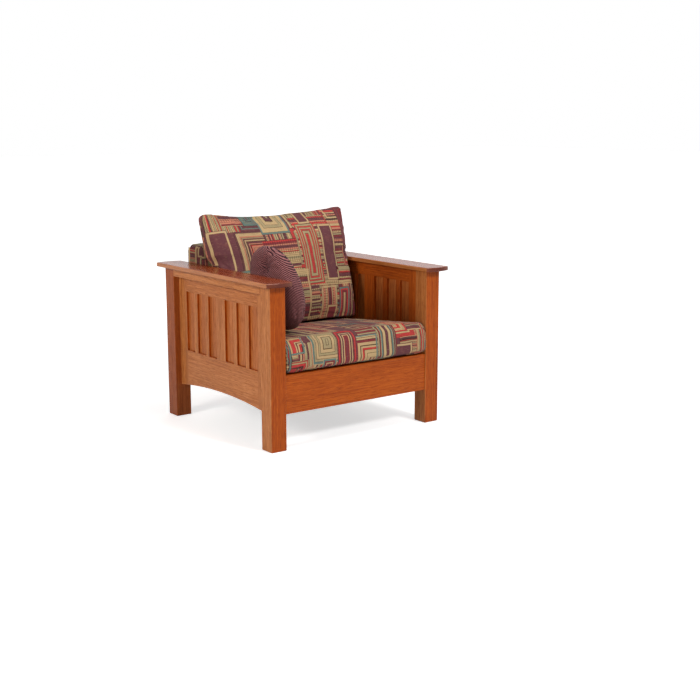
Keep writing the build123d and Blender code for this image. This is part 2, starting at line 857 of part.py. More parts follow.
with BuildPart() as outside_back:
    block(
        (-back_bar_outer_x, back_bar_outer_x),
        (outside_back_y, back_rear_y),
        (back_frame_bottom_height, back_frame_top),
    )
save(outside_back, "outside_back")

# Pad of the fixed back: it wraps the frame's front, sides and top
pad_underside = rest_gap
front_bottom = seat_point(back_front_along, pad_underside)
front_top_above = (back_top_height - seat_front_height + back_front_along * sin(pitch)) / cos(pitch)
front_top = seat_point(back_front_along, front_top_above)
front_middle = seat_point(back_front_along - back_crown, (pad_underside + front_top_above) / 2)
rear_bottom = seat_point(along_at(back_rear_y, pad_underside), pad_underside)

with BuildPart() as back_pad:
    with BuildSketch(Plane.YZ.offset(-back_half_width)):
        with BuildLine():
            ThreePointArc(front_bottom, front_middle, front_top)
            Polyline(front_top, (back_rear_y, back_top_height), rear_bottom, front_bottom)
        make_face()
    extrude(amount=2 * back_half_width)
    side_edges = back_pad.faces().filter_by(Axis.X).edges()
    upright_edges = side_edges.filter_by(lambda edge: abs((edge % 0).Z) > abs((edge % 0).Y))
    fillet(upright_edges, radius=back_corner_radius)
    fillet(back_pad.faces().sort_by(Axis.Z)[-1].edges(), radius=back_top_radius)
    block(
        (-back_cavity_x, back_cavity_x),
        (webbing_front_y - back_fit, back_rear_y + overrun),
        (back_frame_bottom_height - overrun, back_frame_top + back_fit),
        Mode.SUBTRACT,
    )
    # The stiles' wings pass out at the sides
    block(
        (-post_inner_x, post_inner_x),
        (webbing_front_y - back_fit, back_rear_y + overrun),
        (back_frame_bottom_height - overrun, back_wing_top + back_fit),
        Mode.SUBTRACT,
    )
save(back_pad, "back_pad")


# Seat cushion: a box cushion whose top and front are one wrapped panel
def seat_outline(draw_in, crown):
    """The cushion's outline seen from the side, drawn in at its seams and crowned on top."""
    front = -seat_cushion_overhang + draw_in
    rear = back_front_along - back_crown - seat_cushion_back_gap - draw_in
    top = seat_cushion_thickness - draw_in
    front_radius = seat_cushion_front_radius
    lower_radius = seat_cushion_lower_radius
    rear_radius = seat_cushion_rear_radius
    with BuildLine() as outline:
        Line((front + lower_radius, 0), (rear - rear_radius, 0))
        JernArc((rear - rear_radius, 0), (1, 0), rear_radius, 90)
        Line((rear, rear_radius), (rear, top - rear_radius))
        JernArc((rear, top - rear_radius), (0, 1), rear_radius, 90)
        ThreePointArc(
            (rear - rear_radius, top),
            ((front + rear) / 2, top + crown),
            (front + front_radius, top),
        )
        JernArc((front + front_radius, top), (-1, 0), front_radius, 90)
        Line((front, top - front_radius), (front, lower_radius))
        JernArc((front, lower_radius), (0, -1), lower_radius, 90)
    make_face(outline.edges())


def mirrored(shares):
    """The places for half a width, from the middle out, run from one side to the other."""
    return [-share for share in reversed(shares[1:])] + list(shares)


seat_cushion_half_width = post_inner_x - seat_cushion_side_gap
with BuildPart() as seat_cushion:
    for place in mirrored(seat_place_shares):
        section = Plane(
            origin=seat_plane.from_local_coords((place * seat_cushion_half_width, 0, 0)),
            x_dir=seat_plane.y_dir,
            z_dir=seat_plane.x_dir,
        )
        with BuildSketch(section):
            seat_outline(
                seat_cushion_draw_in * place**seat_draw_in_power,
                seat_cushion_crown * (1 - seat_crown_loss_share * place**2),
            )
    loft(ruled=True)
save(seat_cushion, "seat_cushion")

# Back cushion: lofted across its width, cut flat where it stands on the seat cushion and
# squeezed between the arms
lean = radians(back_cushion_lean_degrees)
back_cushion_seam_y = back_rear_y - back_cushion_seam_inset
back_cushion_half_width = arm_inner_x + back_cushion_arm_overlap
lean_plane = Plane(
    origin=(
        0,
        back_cushion_seam_y - back_cushion_height * sin(lean),
        back_cushion_top_height - back_cushion_height * cos(lean),
    ),
    x_dir=(1, 0, 0),
    z_dir=(0, -cos(lean), sin(lean)),
)


def knife_edge_outline(bottom, top, front, rear, shoulder):
    """The back cushion's outline seen from the side: X up the lean, Y out to the front."""
    edge = back_cushion_edge
    with BuildLine() as outline:
        Line((bottom, edge), (bottom, -edge))
        TangentArc((bottom + shoulder, -rear), (bottom, -edge), tangent=(-1, 0))
        Line((bottom + shoulder, -rear), (top - shoulder, -rear))
        TangentArc((top - shoulder, -rear), (top, -edge), tangent=(1, 0))
        Line((top, -edge), (top, edge))
        TangentArc((top - shoulder, front), (top, edge), tangent=(1, 0))
        Line((top - shoulder, front), (bottom + shoulder, front))
        TangentArc((bottom + shoulder, front), (bottom, edge), tangent=(-1, 0))
    make_face(outline.edges())


seat_crown_front = -seat_cushion_overhang + seat_cushion_front_radius
seat_crown_rear = back_front_along - back_crown - seat_cushion_back_gap - seat_cushion_rear_radius
crown_middle = (-seat_cushion_overhang + back_front_along - back_crown - seat_cushion_back_gap) / 2
foot_height = seat_cushion_thickness + rest_gap
with BuildPart() as back_cushion:
    for place in mirrored(back_place_shares):
        swell = (1 - place**back_swell_power) ** back_swell_softness_share
        fullness = back_side_fullness_share + (1 - back_side_fullness_share) * swell
        section = Plane(
            origin=lean_plane.from_local_coords((place * back_cushion_half_width, 0, 0)),
            x_dir=lean_plane.y_dir,
            z_dir=lean_plane.x_dir,
        )
        with BuildSketch(section):
            knife_edge_outline(
                0,
                back_cushion_height - back_cushion_dip * (1 - place * place),
                back_cushion_edge + fullness * (back_cushion_front_fullness - back_cushion_edge),
                back_cushion_edge + fullness * (back_cushion_rear_fullness - back_cushion_edge),
                back_cushion_shoulder,
            )
    loft(ruled=True)
    # Its foot lies on the seat cushion's crown
    with BuildSketch(Plane(origin=seat_plane.origin, x_dir=seat_plane.y_dir, z_dir=seat_plane.x_dir)):
        with BuildLine():
            ThreePointArc(
                (seat_crown_front, foot_height),
                (crown_middle, foot_height + seat_cushion_crown),
                (seat_crown_rear, foot_height),
            )
            Polyline(
                (seat_crown_rear, foot_height),
                (frame_depth, foot_height),
                (frame_depth, -back_cushion_height),
                (seat_crown_front, -back_cushion_height),
                (seat_crown_front, foot_height),
            )
        make_face()
    extrude(amount=frame_width, both=True, mode=Mode.SUBTRACT)
    for x_sign in (-1, 1):
        block(
            (x_sign * (arm_inner_x - back_cushion_arm_gap), x_sign * arm_outer_x),
            (-post_end_y, post_end_y),
            (0, arm_top_height + back_cushion_arm_gap),
            Mode.SUBTRACT,
        )
save(back_cushion, "back_cushion")

# Accent pillow: round, fullest in the middle and drawn to its seam
turn = radians(pillow_turn_degrees)
tip = radians(pillow_tip_degrees)
pillow_place = (
    pillow_arm_inset - arm_inner_x,
    pillow_front_inset - post_end_y,
    seat_front_height + seat_cushion_thickness + seat_cushion_crown + pillow_rise,
)
pillow_face = Vector(cos(turn) * cos(tip), sin(turn) * cos(tip), -sin(tip))
pillow_plane = Plane(origin=pillow_place, x_dir=(-sin(turn), cos(turn), 0), z_dir=pillow_face)
pillow_section = Plane(
    origin=pillow_place,
    x_dir=pillow_plane.x_dir,
    z_dir=pillow_plane.x_dir.cross(pillow_face),
)



def pillow_profile(face_sign):
    """Points of one face of the pillow, from beside its middle out to its seam."""
    swell = pillow_half_thickness - pillow_edge
    points = []
    for ring in range(1, pillow_rings + 1):
        angle = ring / pillow_rings * pi / 2
        height = pillow_edge + swell * max(cos(angle), 0) ** pillow_taper_power
        points.append((pillow_radius * sin(angle), face_sign * height))
    return points


with BuildPart() as accent_pillow:
    with BuildSketch(pillow_section):
        with BuildLine():
            Polyline(
                (0, -pillow_half_thickness),
                *pillow_profile(-1),
                *reversed(pillow_profile(1)),
                (0, pillow_half_thickness),
                close=True,
            )
        make_face()
    revolve(axis=Axis(pillow_place, pillow_face))
save(accent_pillow, "accent_pillow")
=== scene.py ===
"""The looks of the mission chair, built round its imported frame. Lengths are metres."""

import logging
import math
from collections.abc import Callable, Sequence
from dataclasses import dataclass, field, replace
from enum import Enum

import bmesh
import bpy
import numpy as np
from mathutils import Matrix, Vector, noise
from mathutils.bvhtree import BVHTree


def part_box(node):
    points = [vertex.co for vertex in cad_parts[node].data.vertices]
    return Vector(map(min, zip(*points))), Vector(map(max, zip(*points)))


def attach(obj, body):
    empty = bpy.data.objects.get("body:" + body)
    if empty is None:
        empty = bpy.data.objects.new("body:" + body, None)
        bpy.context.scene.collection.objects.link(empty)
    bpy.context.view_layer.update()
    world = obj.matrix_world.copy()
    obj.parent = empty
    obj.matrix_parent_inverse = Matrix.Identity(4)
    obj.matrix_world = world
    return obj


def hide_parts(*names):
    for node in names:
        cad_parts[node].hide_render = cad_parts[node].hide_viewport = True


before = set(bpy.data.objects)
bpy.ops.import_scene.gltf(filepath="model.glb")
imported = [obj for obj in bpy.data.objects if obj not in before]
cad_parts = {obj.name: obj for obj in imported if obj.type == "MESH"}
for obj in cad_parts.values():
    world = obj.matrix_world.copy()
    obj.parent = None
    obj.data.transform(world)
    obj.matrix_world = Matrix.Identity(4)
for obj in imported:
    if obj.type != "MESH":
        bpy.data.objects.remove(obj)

LOG = logging.getLogger("mission_chair")
UV_NAME = "cloth"
MILLIMETRE = 0.001
JOINING_DISTANCE = 0.02 * MILLIMETRE  # points nearer than this are one
NEARLY_NOUGHT = 1e-9  # keeps a division from meeting nought
Colour = tuple[float, float, float, float]


def colour(red: float, green: float, blue: float) -> Colour:
    """Returns an opaque linear colour."""
    return (red, green, blue, 1.0)


def scaled(shade: Colour, factor: float) -> Colour:
    """Returns a colour made darker or lighter."""
    return colour(*(part * factor for part in shade[:3]))


def two_values(operation: str, flipped: bool = False) -> Callable[["Signal", "Signal | float"], "Signal"]:
    """Makes a method that joins a signal and another value with a Math node.

    Args:
        operation: The Math node's operation.
        flipped: Whether the other value comes first.

    Returns:
        The method.
    """

    def method(self: "Signal", other: "Signal | float") -> "Signal":
        """Returns the result of both values."""
        return self.graph.math(operation, *((other, self) if flipped else (self, other)))

    return method


def one_value(operation: str) -> Callable[["Signal"], "Signal"]:
    """Makes a method that puts a signal through a Math node.

    Args:
        operation: The Math node's operation.

    Returns:
        The method.
    """

    def method(self: "Signal") -> "Signal":
        """Returns the result of the one value."""
        return self.graph.math(operation, self)

    return method


class Signal:
    """A node's output that can stand in a Python expression."""

    def __init__(self, graph: "Graph", socket: bpy.types.NodeSocket) -> None:
        """Keeps the socket and the graph it belongs to."""
        self.graph = graph
        self.socket = socket

    def __getitem__(self, name: str | int) -> "Signal":
        """Returns another output of the same node."""
        return Signal(self.graph, self.socket.node.outputs[name])

    __add__ = two_values("ADD")
    __radd__ = two_values("ADD", flipped=True)
    __sub__ = two_values("SUBTRACT")
    __rsub__ = two_values("SUBTRACT", flipped=True)
    __mul__ = two_values("MULTIPLY")
    __rmul__ = two_values("MULTIPLY", flipped=True)
    __truediv__ = two_values("DIVIDE")
    __gt__ = two_values("GREATER_THAN")
    __lt__ = two_values("LESS_THAN")
    least = two_values("MINIMUM")
    most = two_values("MAXIMUM")
    __abs__ = one_value("ABSOLUTE")
    floor = one_value("FLOOR")
    fraction = one_value("FRACT")
    sine = one_value("SINE")


class Graph:
    """Adds nodes to one shader or geometry tree."""

    def __init__(self, tree: bpy.types.NodeTree) -> None:
        """Keeps the tree."""
        self.tree = tree

    def node(
        self,
        kind: str,
        settings: dict | None = None,
        sockets: dict | None = None,
        output: str | int = 0,
    ) -> Signal:
        """Adds a node.

        Args:
            kind: The node's type.
            settings: Its own settings, set first; "stops" is a ramp's way and stops.
            sockets: Values or signals for its inputs, by name or place.
            output: The output that is wanted.

        Returns:
            That output as a signal.
        """
        made = self.tree.nodes.new(kind)
        for name, value in (settings or {}).items():
            if name == "stops":
                self.set_stops(made.color_ramp, *value)
            else:
                setattr(made, name, value)
        for name, value in (sockets or {}).items():
            if isinstance(value, Signal):
                self.tree.links.new(value.socket, made.inputs[name])
            else:
                made.inputs[name].default_value = value
        return Signal(self, made.outputs[output] if len(made.outputs) else made.inputs[0])

    @staticmethod
    def set_stops(
        ramp: bpy.types.ColorRamp, way: str, stops: Sequence[tuple[float, Colour]]
    ) -> None:
        """Writes a colour ramp.

        Args:
            ramp: The ramp.
            way: How it runs between its stops.
            stops: Places and colours, in order.
        """
        ramp.interpolation = way
        while len(ramp.elements) < len(stops):
            ramp.elements.new(1.0)
        for element, (place, value) in zip(ramp.elements, stops):
            element.position = place
            element.color = value

    def math(self, operation: str, *values: Signal | float) -> Signal:
        """Returns a Math node's result."""
        return self.node("ShaderNodeMath", {"operation": operation}, dict(enumerate(values)))

    def mix(
        self,
        share: Signal | float,
        first: Signal | Colour,
        second: Signal | Colour,
        way: str = "MIX",
    ) -> Signal:
        """Blends two colours.

        Args:
            share: How much of the second, from 0 to 1.
            first: The first colour.
            second: The second colour.
            way: The blend type.

        Returns:
            The blended colour.
        """
        sockets = {0: share, 6: first, 7: second}
        return self.node("ShaderNodeMix", {"data_type": "RGBA", "blend_type": way}, sockets, 2)

    def ramp(self, value: Signal, way: str, stops: Sequence[tuple[float, Colour]]) -> Signal:
        """Returns the colour that a ramp gives for a value."""
        return self.node("ShaderNodeValToRGB", {"stops": (way, stops)}, {"Fac": value})

    def between(self, value: Signal, low: float, high: float) -> Signal:
        """Returns a soft step that rises from 0 at low to 1 at high."""
        sockets = {"Value": value, "From Min": low, "From Max": high}
        return self.node("ShaderNodeMapRange", {"interpolation_type": "SMOOTHSTEP"}, sockets)

    def joined(self, x: Signal | float, y: Signal | float, z: Signal | float) -> Signal:
        """Returns a vector of three values."""
        return self.node("ShaderNodeCombineXYZ", None, {"X": x, "Y": y, "Z": z})

    def split(self, vector: Signal) -> tuple[Signal, Signal, Signal]:
        """Returns a vector's three values."""
        parts = self.node("ShaderNodeSeparateXYZ", None, {"Vector": vector})
        return parts, parts["Y"], parts["Z"]

    def cloud(self, place: Signal, scale: float, detail: float = 2.0, twist: float = 0.0) -> Signal:
        """Returns smooth noise about 0.5.

        Args:
            place: Where the noise is read.
            scale: How fine it is, per metre.
            detail: How many finer layers it has.
            twist: How far it is distorted.

        Returns:
            The noise as one value.
        """
        sockets = {"Vector": place, "Scale": scale, "Detail": detail, "Distortion": twist}
        return self.node("ShaderNodeTexNoise", None, sockets)

    def dice(self, x: Signal | float, y: Signal | float, z: Signal | float) -> Signal:
        """Returns a random value for each whole-numbered place; its Color holds three more."""
        return self.node("ShaderNodeTexWhiteNoise", None, {"Vector": self.joined(x, y, z)})

    def bump(self, height: Signal, strength: float, depth: float) -> Signal:
        """Returns a normal that follows a height.

        Args:
            height: From 0 to 1.
            strength: From 0 to 1.
            depth: The distance that a height of 1 stands for.

        Returns:
            The normal.
        """
        sockets = {"Strength": strength, "Distance": depth, "Height": height}
        return self.node("ShaderNodeBump", None, sockets)


def cleared_graph(owner: bpy.types.Material | bpy.types.World) -> Graph:
    """Empties the nodes of a material or a world.

    Args:
        owner: The material or the world.

    Returns:
        Its graph.
    """
    owner.use_nodes = True
    owner.node_tree.nodes.clear()
    return Graph(owner.node_tree)


def placed(name: str, data: bpy.types.ID) -> bpy.types.Object:
    """Adds an object to the scene.

    Args:
        name: Its name.
        data: Its mesh, light or camera.

    Returns:
        The object.
    """
    made = bpy.data.objects.new(name, data)
    bpy.context.scene.collection.objects.link(made)
    return made


@dataclass(frozen=True)
class Finish:
    """A surface: its material's name, and the nodes that each kind of finish adds."""

    name: str

    def material(self) -> bpy.types.Material:
        """Builds the finish's material at the first call.

        Returns:
            The material.
        """
        made = bpy.data.materials.get(self.name)
        if made is None:
            made = bpy.data.materials.new(self.name)
            graph = cleared_graph(made)
            shader = graph.node("ShaderNodeBsdfPrincipled", None, self.sockets(graph))
            graph.node("ShaderNodeOutputMaterial", None, {"Surface": shader})
        return made

    def sockets(self, graph: Graph) -> dict:
        """Returns the shader's sockets; each finish has its own."""
        raise NotImplementedError

    def dress(self, piece: bpy.types.Object) -> None:
        """Puts the finish on every material slot of a piece.

        Args:
            piece: The piece.
        """
        if not piece.material_slots:
            piece.data.materials.append(None)
        for slot in piece.material_slots:
            slot.material = self.material()


class Grain(Enum):
    """Which way a board's grain runs, as the order of its coordinates: across, deep, along."""

    X = (2, 1, 0)
    Y = (2, 0, 1)
    Z = (1, 0, 2)


@dataclass(frozen=True)
class Stain:
    """The four colours of a wood, from its pores to its palest streaks."""

    pore: Colour
    dark: Colour
    middle: Colour
    pale: Colour


WARM_STAIN = Stain(
    colour(0.12, 0.026, 0.006),
    colour(0.27, 0.078, 0.016),
    colour(0.41, 0.138, 0.036),
    colour(0.53, 0.205, 0.066),
)
BARE_WOOD = Stain(
    colour(0.30, 0.17, 0.075),
    colour(0.46, 0.29, 0.14),
    colour(0.60, 0.42, 0.22),
    colour(0.70, 0.53, 0.31),
)


@dataclass(frozen=True)
class WoodFinish(Finish):
    """Open-pored oak with streaks, pores, growth lines and ray flecks, its faces tinted by their facing:
    partly stain, partly painted shade.
    """

    grain: Grain = Grain.Z
    stain: Stain = WARM_STAIN
    board: float = 2.0  # how wide each board is, across the grain
    seed: float = 0.0
    growth_lines: float = 7.0
    streaks: float = 1.05
    fleck: float = 0.5
    roughness: float = 0.36
    gloss: float = 0.12
    lacquer: float = 0.04
    front_depth: float = 1.0  # how much richer and darker the faces not turned to the sides are made: partly the flat-sawn faces' own stain, partly painted shade
    side_depth: float = 0.0  # the same for the faces turned to the sides, the quarter-sawn ones, which stay paler: partly their own stain, partly a painted sheen
    stain_and_shade_tint: Colour = colour(0.88, 0.46, 0.10)
    end_tint: Colour = colour(0.46, 0.30, 0.20)  # end grain drinks more stain
    relief: float = 0.25
    pore_share: float = 0.72
    broad_net: tuple[float, float] = (17.0, 0.8)  # noise cells per metre, across and along the grain
    streak_net: tuple[float, float] = (190.0, 3.6)
    pore_net: tuple[float, float] = (820.0, 24.0)
    ray_net: tuple[float, float] = (60.0, 24.0)
    broad_tone: float = 0.42  # how far each feature moves the tone
    growth_tone: float = 0.18
    ray_tone: float = 0.16
    board_tone: float = 0.16
    board_shift: tuple[float, float] = (3.0, 7.0)  # how far a board's figure is moved, deep and along
    tone_stops: tuple[float, float, float] = (0.12, 0.5, 0.88)

    def sockets(self, graph: Graph) -> dict:
        """Builds the wood's nodes.

        Args:
            graph: The material's graph.

        Returns:
            The shader's sockets.
        """
        places = graph.split(graph.node("ShaderNodeTexCoord", output="Object"))
        across, deep, along = (places[index] for index in self.grain.value)
        board = (across / self.board + self.seed).floor()
        chance = graph.dice(board, self.seed, 0.0)
        deep = deep + chance * self.board_shift[0]
        along = along + chance * self.board_shift[1] + self.seed

        def stretched(net: tuple[float, float]) -> Signal:
            """Returns coordinates that are fine across the grain and slow along it."""
            return graph.joined(across * net[0], deep * net[0], along * net[1])

        broad = graph.cloud(stretched(self.broad_net), scale=1.0, detail=2.0, twist=0.25)
        growth = (broad * (self.growth_lines * 2.0)).fraction()
        growth = graph.between(growth, low=0.0, high=0.55) * (1 - graph.between(growth, low=0.8, high=1.0))
        streak = graph.cloud(stretched(self.streak_net), scale=1.0, detail=4.0)
        pore = graph.cloud(stretched(self.pore_net), scale=1.0, detail=2.0)
        pore = graph.between(pore, low=0.53, high=0.68)
        ray = graph.cloud(stretched(self.ray_net), scale=1.0, detail=2.0, twist=1.4)
        ray = graph.between(ray, low=0.57, high=0.66)
        tone = 0.5 + (broad - 0.5) * self.broad_tone + (streak - 0.5) * self.streaks
        tone = tone + (growth - 0.5) * self.growth_tone + ray * self.fleck * self.ray_tone
        tone = tone + (chance - 0.5) * self.board_tone
        stops = tuple(zip(self.tone_stops, (self.stain.dark, self.stain.middle, self.stain.pale)))
        shade = graph.ramp(tone, "LINEAR", stops)
        shade = graph.mix(pore * self.pore_share, shade, self.stain.pore)
        facing = graph.split(graph.node("ShaderNodeTexCoord", output="Normal"))
        # Faces not turned to the sides are tinted richer and darker than the side faces: partly the stain of
        # flat-sawn against quarter-sawn oak, partly painted shade and painted sheen by facing.
        side_facing = abs(facing[0])
        stain_and_shade_share = (1 - side_facing) * self.front_depth + side_facing * self.side_depth
        rich = graph.mix(1.0, shade, self.stain_and_shade_tint, "MULTIPLY")
        shade = graph.mix(stain_and_shade_share, shade, rich)
        end_grain = graph.between(abs(facing[self.grain.value[2]]), low=0.5, high=0.9)
        shade = graph.mix(end_grain, shade, self.end_tint, "MULTIPLY")
        return {
            "Base Color": shade,
            "Roughness": self.roughness + pore * 0.25 + (streak - 0.5) * 0.12,
            "Specular IOR Level": self.gloss,
            "Coat Weight": self.lacquer,
            "Coat Roughness": 0.22,
            "Normal": graph.bump(streak * 0.5 - pore, self.relief, 0.3 * MILLIMETRE),
        }


PLUM = colour(0.118, 0.034, 0.040)
BURGUNDY = colour(0.20, 0.024, 0.030)
RED = colour(0.50, 0.036, 0.034)
CORAL = colour(0.52, 0.19, 0.11)
TAN = colour(0.50, 0.345, 0.165)
KHAKI = colour(0.35, 0.275, 0.14)
TEAL = colour(0.105, 0.175, 0.15)
COCOA = colour(0.040, 0.014, 0.011)
PALETTE = (
    (0.00, PLUM),
    (0.15, BURGUNDY),
    (0.24, TAN),
    (0.34, KHAKI),
    (0.45, PLUM),
    (0.54, CORAL),
    (0.63, TAN),
    (0.70, RED),
    (0.79, COCOA),
    (0.83, KHAKI),
    (0.89, TEAL),
    (0.94, PLUM),
)


@dataclass(frozen=True)
class BlockGrid:
    """One layer of woven blocks: how big they are, how finely banded, and how many show."""

    width: float
    height: float
    band: float
    line: float  # how wide the dark outline of each band is
    seed: float
    cover: float = 1.0
    inset: float = 0.0


@dataclass(frozen=True)
class TapestryFinish(Finish):
    """Tapestry woven in layered blocks, each of nested frames, brackets or bars."""

    layers: tuple[BlockGrid, ...] = (
        BlockGrid(width=0.128, height=0.164, band=0.0100, line=0.0015, seed=3.0),
        BlockGrid(width=0.196, height=0.172, band=0.0110, line=0.0016, seed=11.0, cover=0.44, inset=0.024),
        BlockGrid(width=0.098, height=0.262, band=0.0095, line=0.0015, seed=23.0, cover=0.36, inset=0.014),
        BlockGrid(width=0.236, height=0.070, band=0.0100, line=0.0015, seed=31.0, cover=0.26, inset=0.008),
    )
    plain_tints: float = 0.24  # how much of the palette the plain blocks may take
    thread: float = 0.0017
    scale: float = 1.0
    brightness: float = 1.0
    hollow: Colour = colour(0.30, 0.26, 0.26)  # painted shade: the tint that darkens the hollows between the threads
    kinds: tuple[float, float, float] = (0.26, 0.55, 0.82)  # where frames, brackets and uprights end
    band_range: tuple[float, float] = (0.66, 1.3)  # the least band width, and what chance adds
    plain_from: tuple[float, float] = (0.74, 0.3)  # the mood and the kind above which a block is plain
    outline_share: float = 0.6  # a block's own outline against its bands' outline
    ladder_pitch: float = 0.0105
    ladder_share: float = 0.2
    hatch_pitch: float = 0.0056
    hatch_share: float = 0.34
    rim: tuple[float, float] = (0.002, 0.009)  # where a raised block's rim starts and ends

    def layer(self, graph: Graph, u: Signal, v: Signal, grid: BlockGrid) -> tuple[Signal, Signal]:
        """Weaves one layer.

        Args:
            graph: The material's graph.
            u: The place across the cloth.
            v: The place up the cloth.
            grid: The layer's sizes.

        Returns:
            The layer's colour, and 1 where the layer shows.
        """
        row = (v / grid.height).floor()
        shift = graph.dice(row, grid.seed, 1.0)
        column_place = u / grid.width + shift * 3.0
        column = column_place.floor()
        chance = graph.dice(column, row, grid.seed)
        kind, mood, turn = graph.split(chance["Color"])
        x = column_place.fraction() * grid.width
        y = (v / grid.height).fraction() * grid.height
        far_x = grid.width - x
        far_y = grid.height - y
        side_x = x.least(far_x)
        side_y = y.least(far_y)
        near = side_x.least(side_y * (0.75 + mood * 0.5))
        bracket = x.least(far_y) * (turn > 0.5) + far_x.least(y) * (turn < 0.5)
        frames_end, brackets_end, uprights_end = self.kinds
        frames = kind < frames_end
        brackets = (kind > frames_end) * (kind < brackets_end)
        uprights = (kind > brackets_end) * (kind < uprights_end)
        levels = kind > uprights_end
        depth = frames * near + brackets * bracket + uprights * x + levels * y
        wobble = graph.dice((depth / grid.band).floor(), chance * 91.0, grid.seed)
        waver = graph.cloud(graph.joined(depth * 55.0, chance * 40.0, 0.0), scale=1.0, detail=1.0)
        narrow, spread = self.band_range
        band_place = depth / (grid.band * (narrow + spread * mood * mood)) + waver * 2.2
        band = band_place.floor()
        odd = band - (band * 0.5).floor() * 2.0
        drift = uprights + levels
        tint = graph.dice(band * drift + odd * (1 - drift), column, row + grid.seed)
        plain = (mood > self.plain_from[0]) * (kind > self.plain_from[1])
        patterned = 1 - plain
        tint = (tint * 0.62 + wobble * 0.13) * patterned + turn * 0.45 + plain * kind * 3.7
        tint = tint.fraction() * (1 - plain * (1 - self.plain_tints))
        shade = graph.ramp(tint, "CONSTANT", PALETTE)
        band_lines = (band_place.fraction() < grid.line / grid.band) * patterned
        side_lines = side_x < grid.line * self.outline_share
        end_lines = (side_y < grid.line * self.outline_share) * (mood > 0.4)
        outline = band_lines.most(side_lines.most(end_lines))
        ladder = ((x * levels + y * (1 - levels)) / self.ladder_pitch).fraction() < self.ladder_share
        ladder = ladder * (wobble > 0.60) * drift * patterned
        hatch = ((x + y * 0.15) / self.hatch_pitch).fraction() < self.hatch_share
        hatch = hatch * (turn > 0.45) * (tint > 0.13) * patterned
        shade = graph.mix(outline.most(ladder * 0.8).most(hatch * 0.42), shade, COCOA)
        edge = side_x.least(side_y)
        margin = grid.inset * mood
        inside = edge > margin
        shows = (turn < grid.cover) * inside
        rim_start, rim_end = self.rim
        rim = inside * (edge < margin + rim_end) * (mood > 0.35) * (edge > margin + rim_start)
        rim_tint = graph.mix(kind > 0.5, TEAL, TAN)
        if grid.cover < 1.0:
            shade = graph.mix(rim, shade, rim_tint)
        return shade, shows

    def sockets(self, graph: Graph) -> dict:
        """Builds the tapestry's nodes.

        Args:
            graph: The material's graph.

        Returns:
            The shader's sockets.
        """
        flat = graph.node("ShaderNodeUVMap", {"uv_map": UV_NAME})
        u, v, _ = graph.split(flat)
        u = u * self.scale + 5.0
        v = v * self.scale + 5.0
        place = graph.joined(u, v, 0.0)
        waver = graph.cloud(place, scale=9.0, detail=2.0) - 0.5
        u_wavy = u + waver * 0.010
        v_wavy = v + waver * 0.008
        shade = None
        for index, grid in enumerate(self.layers):
            first, second = (u_wavy, v_wavy) if index % 2 == 0 else (v_wavy, u_wavy)
            layer_shade, shows = self.layer(graph, first, second, grid)
            shade = layer_shade if shade is None else graph.mix(shows, shade, layer_shade)
        slub = graph.cloud(graph.joined(u * 60.0, v * 520.0, 0.0), scale=1.0, detail=3.0)
        fleck = graph.cloud(graph.joined(u * 380.0, v * 380.0, 2.0), scale=1.0, detail=1.0)
        shade = graph.mix(graph.between(fleck, low=0.60, high=0.78) * 0.5, shade, PLUM)
        shade = graph.mix(graph.between(slub, low=0.58, high=0.78) * 0.42, shade, TAN)
        worn = graph.cloud(place, scale=34.0, detail=3.0)
        shade = graph.mix(graph.between(worn, low=0.52, high=0.72) * 0.10, shade, CORAL)
        shade = graph.mix(graph.between(worn, low=0.48, high=0.30) * 0.22, shade, PLUM)
        turn = math.tau / self.thread
        warp = (u * turn).sine() * (v * turn).sine() * 0.5 + 0.5
        # Painted shade: the hollows between the threads are darkened.
        dimmed = graph.mix(warp * 0.28 + 0.02, shade, self.hollow, "MULTIPLY")
        light = colour(self.brightness, self.brightness, self.brightness)
        return {
            "Base Color": graph.mix(1.0, dimmed, light, "MULTIPLY"),
            "Roughness": 0.86 + (slub - 0.5) * 0.12,
            "Specular IOR Level": 0.25,
            "Sheen Weight": 0.05,
            "Sheen Roughness": 0.5,
            "Normal": graph.bump(warp * 0.7 + slub * 0.3, 0.5, 0.5 * MILLIMETRE),
        }


@dataclass(frozen=True)
class ChenilleFinish(Finish):
    """Plum chenille with slanting ribs of looped pile."""

    pitch: float = 0.0070
    slant: float = 0.82  # how far the ribs rise for each metre across
    # Painted shade and highlight: deep colours the rib valleys, high the ridges.
    deep: Colour = colour(0.022, 0.005, 0.009)
    high: Colour = colour(0.31, 0.115, 0.110)
    worn: Colour = colour(0.15, 0.05, 0.06)

    def sockets(self, graph: Graph) -> dict:
        """Builds the chenille's nodes.

        Args:
            graph: The material's graph.

        Returns:
            The shader's sockets.
        """
        u, v, _ = graph.split(graph.node("ShaderNodeUVMap", {"uv_map": UV_NAME}))
        waver = graph.cloud(graph.joined(u, v, 0.0), scale=14.0, detail=1.0) - 0.5
        rib = (v + u * self.slant + waver * 0.008) / self.pitch
        profile = (rib * math.tau).sine() * 0.5 + 0.5
        tuft = graph.cloud(graph.joined(u * 420.0, v * 260.0, 0.0), scale=1.0, detail=2.0)
        worn = graph.cloud(graph.joined(u * 14.0, v * 14.0, 3.0), scale=1.0, detail=2.0)
        pile = profile * (0.55 + tuft * 0.9)
        # The ribs' valleys are painted dark and their ridges pale, following their relief: painted shade and
        # painted highlight.
        shade = graph.mix(graph.between(pile, low=0.30, high=0.92), self.deep, self.high)
        shade = graph.mix(graph.between(worn, low=0.45, high=0.75) * 0.35, shade, self.worn)
        return {
            "Base Color": shade,
            "Roughness": 0.93 - profile * 0.1,
            "Specular IOR Level": 0.2,
            "Sheen Weight": 0.05,
            "Sheen Roughness": 0.45,
            "Normal": graph.bump(pile, 0.8, 1.1 * MILLIMETRE),
        }


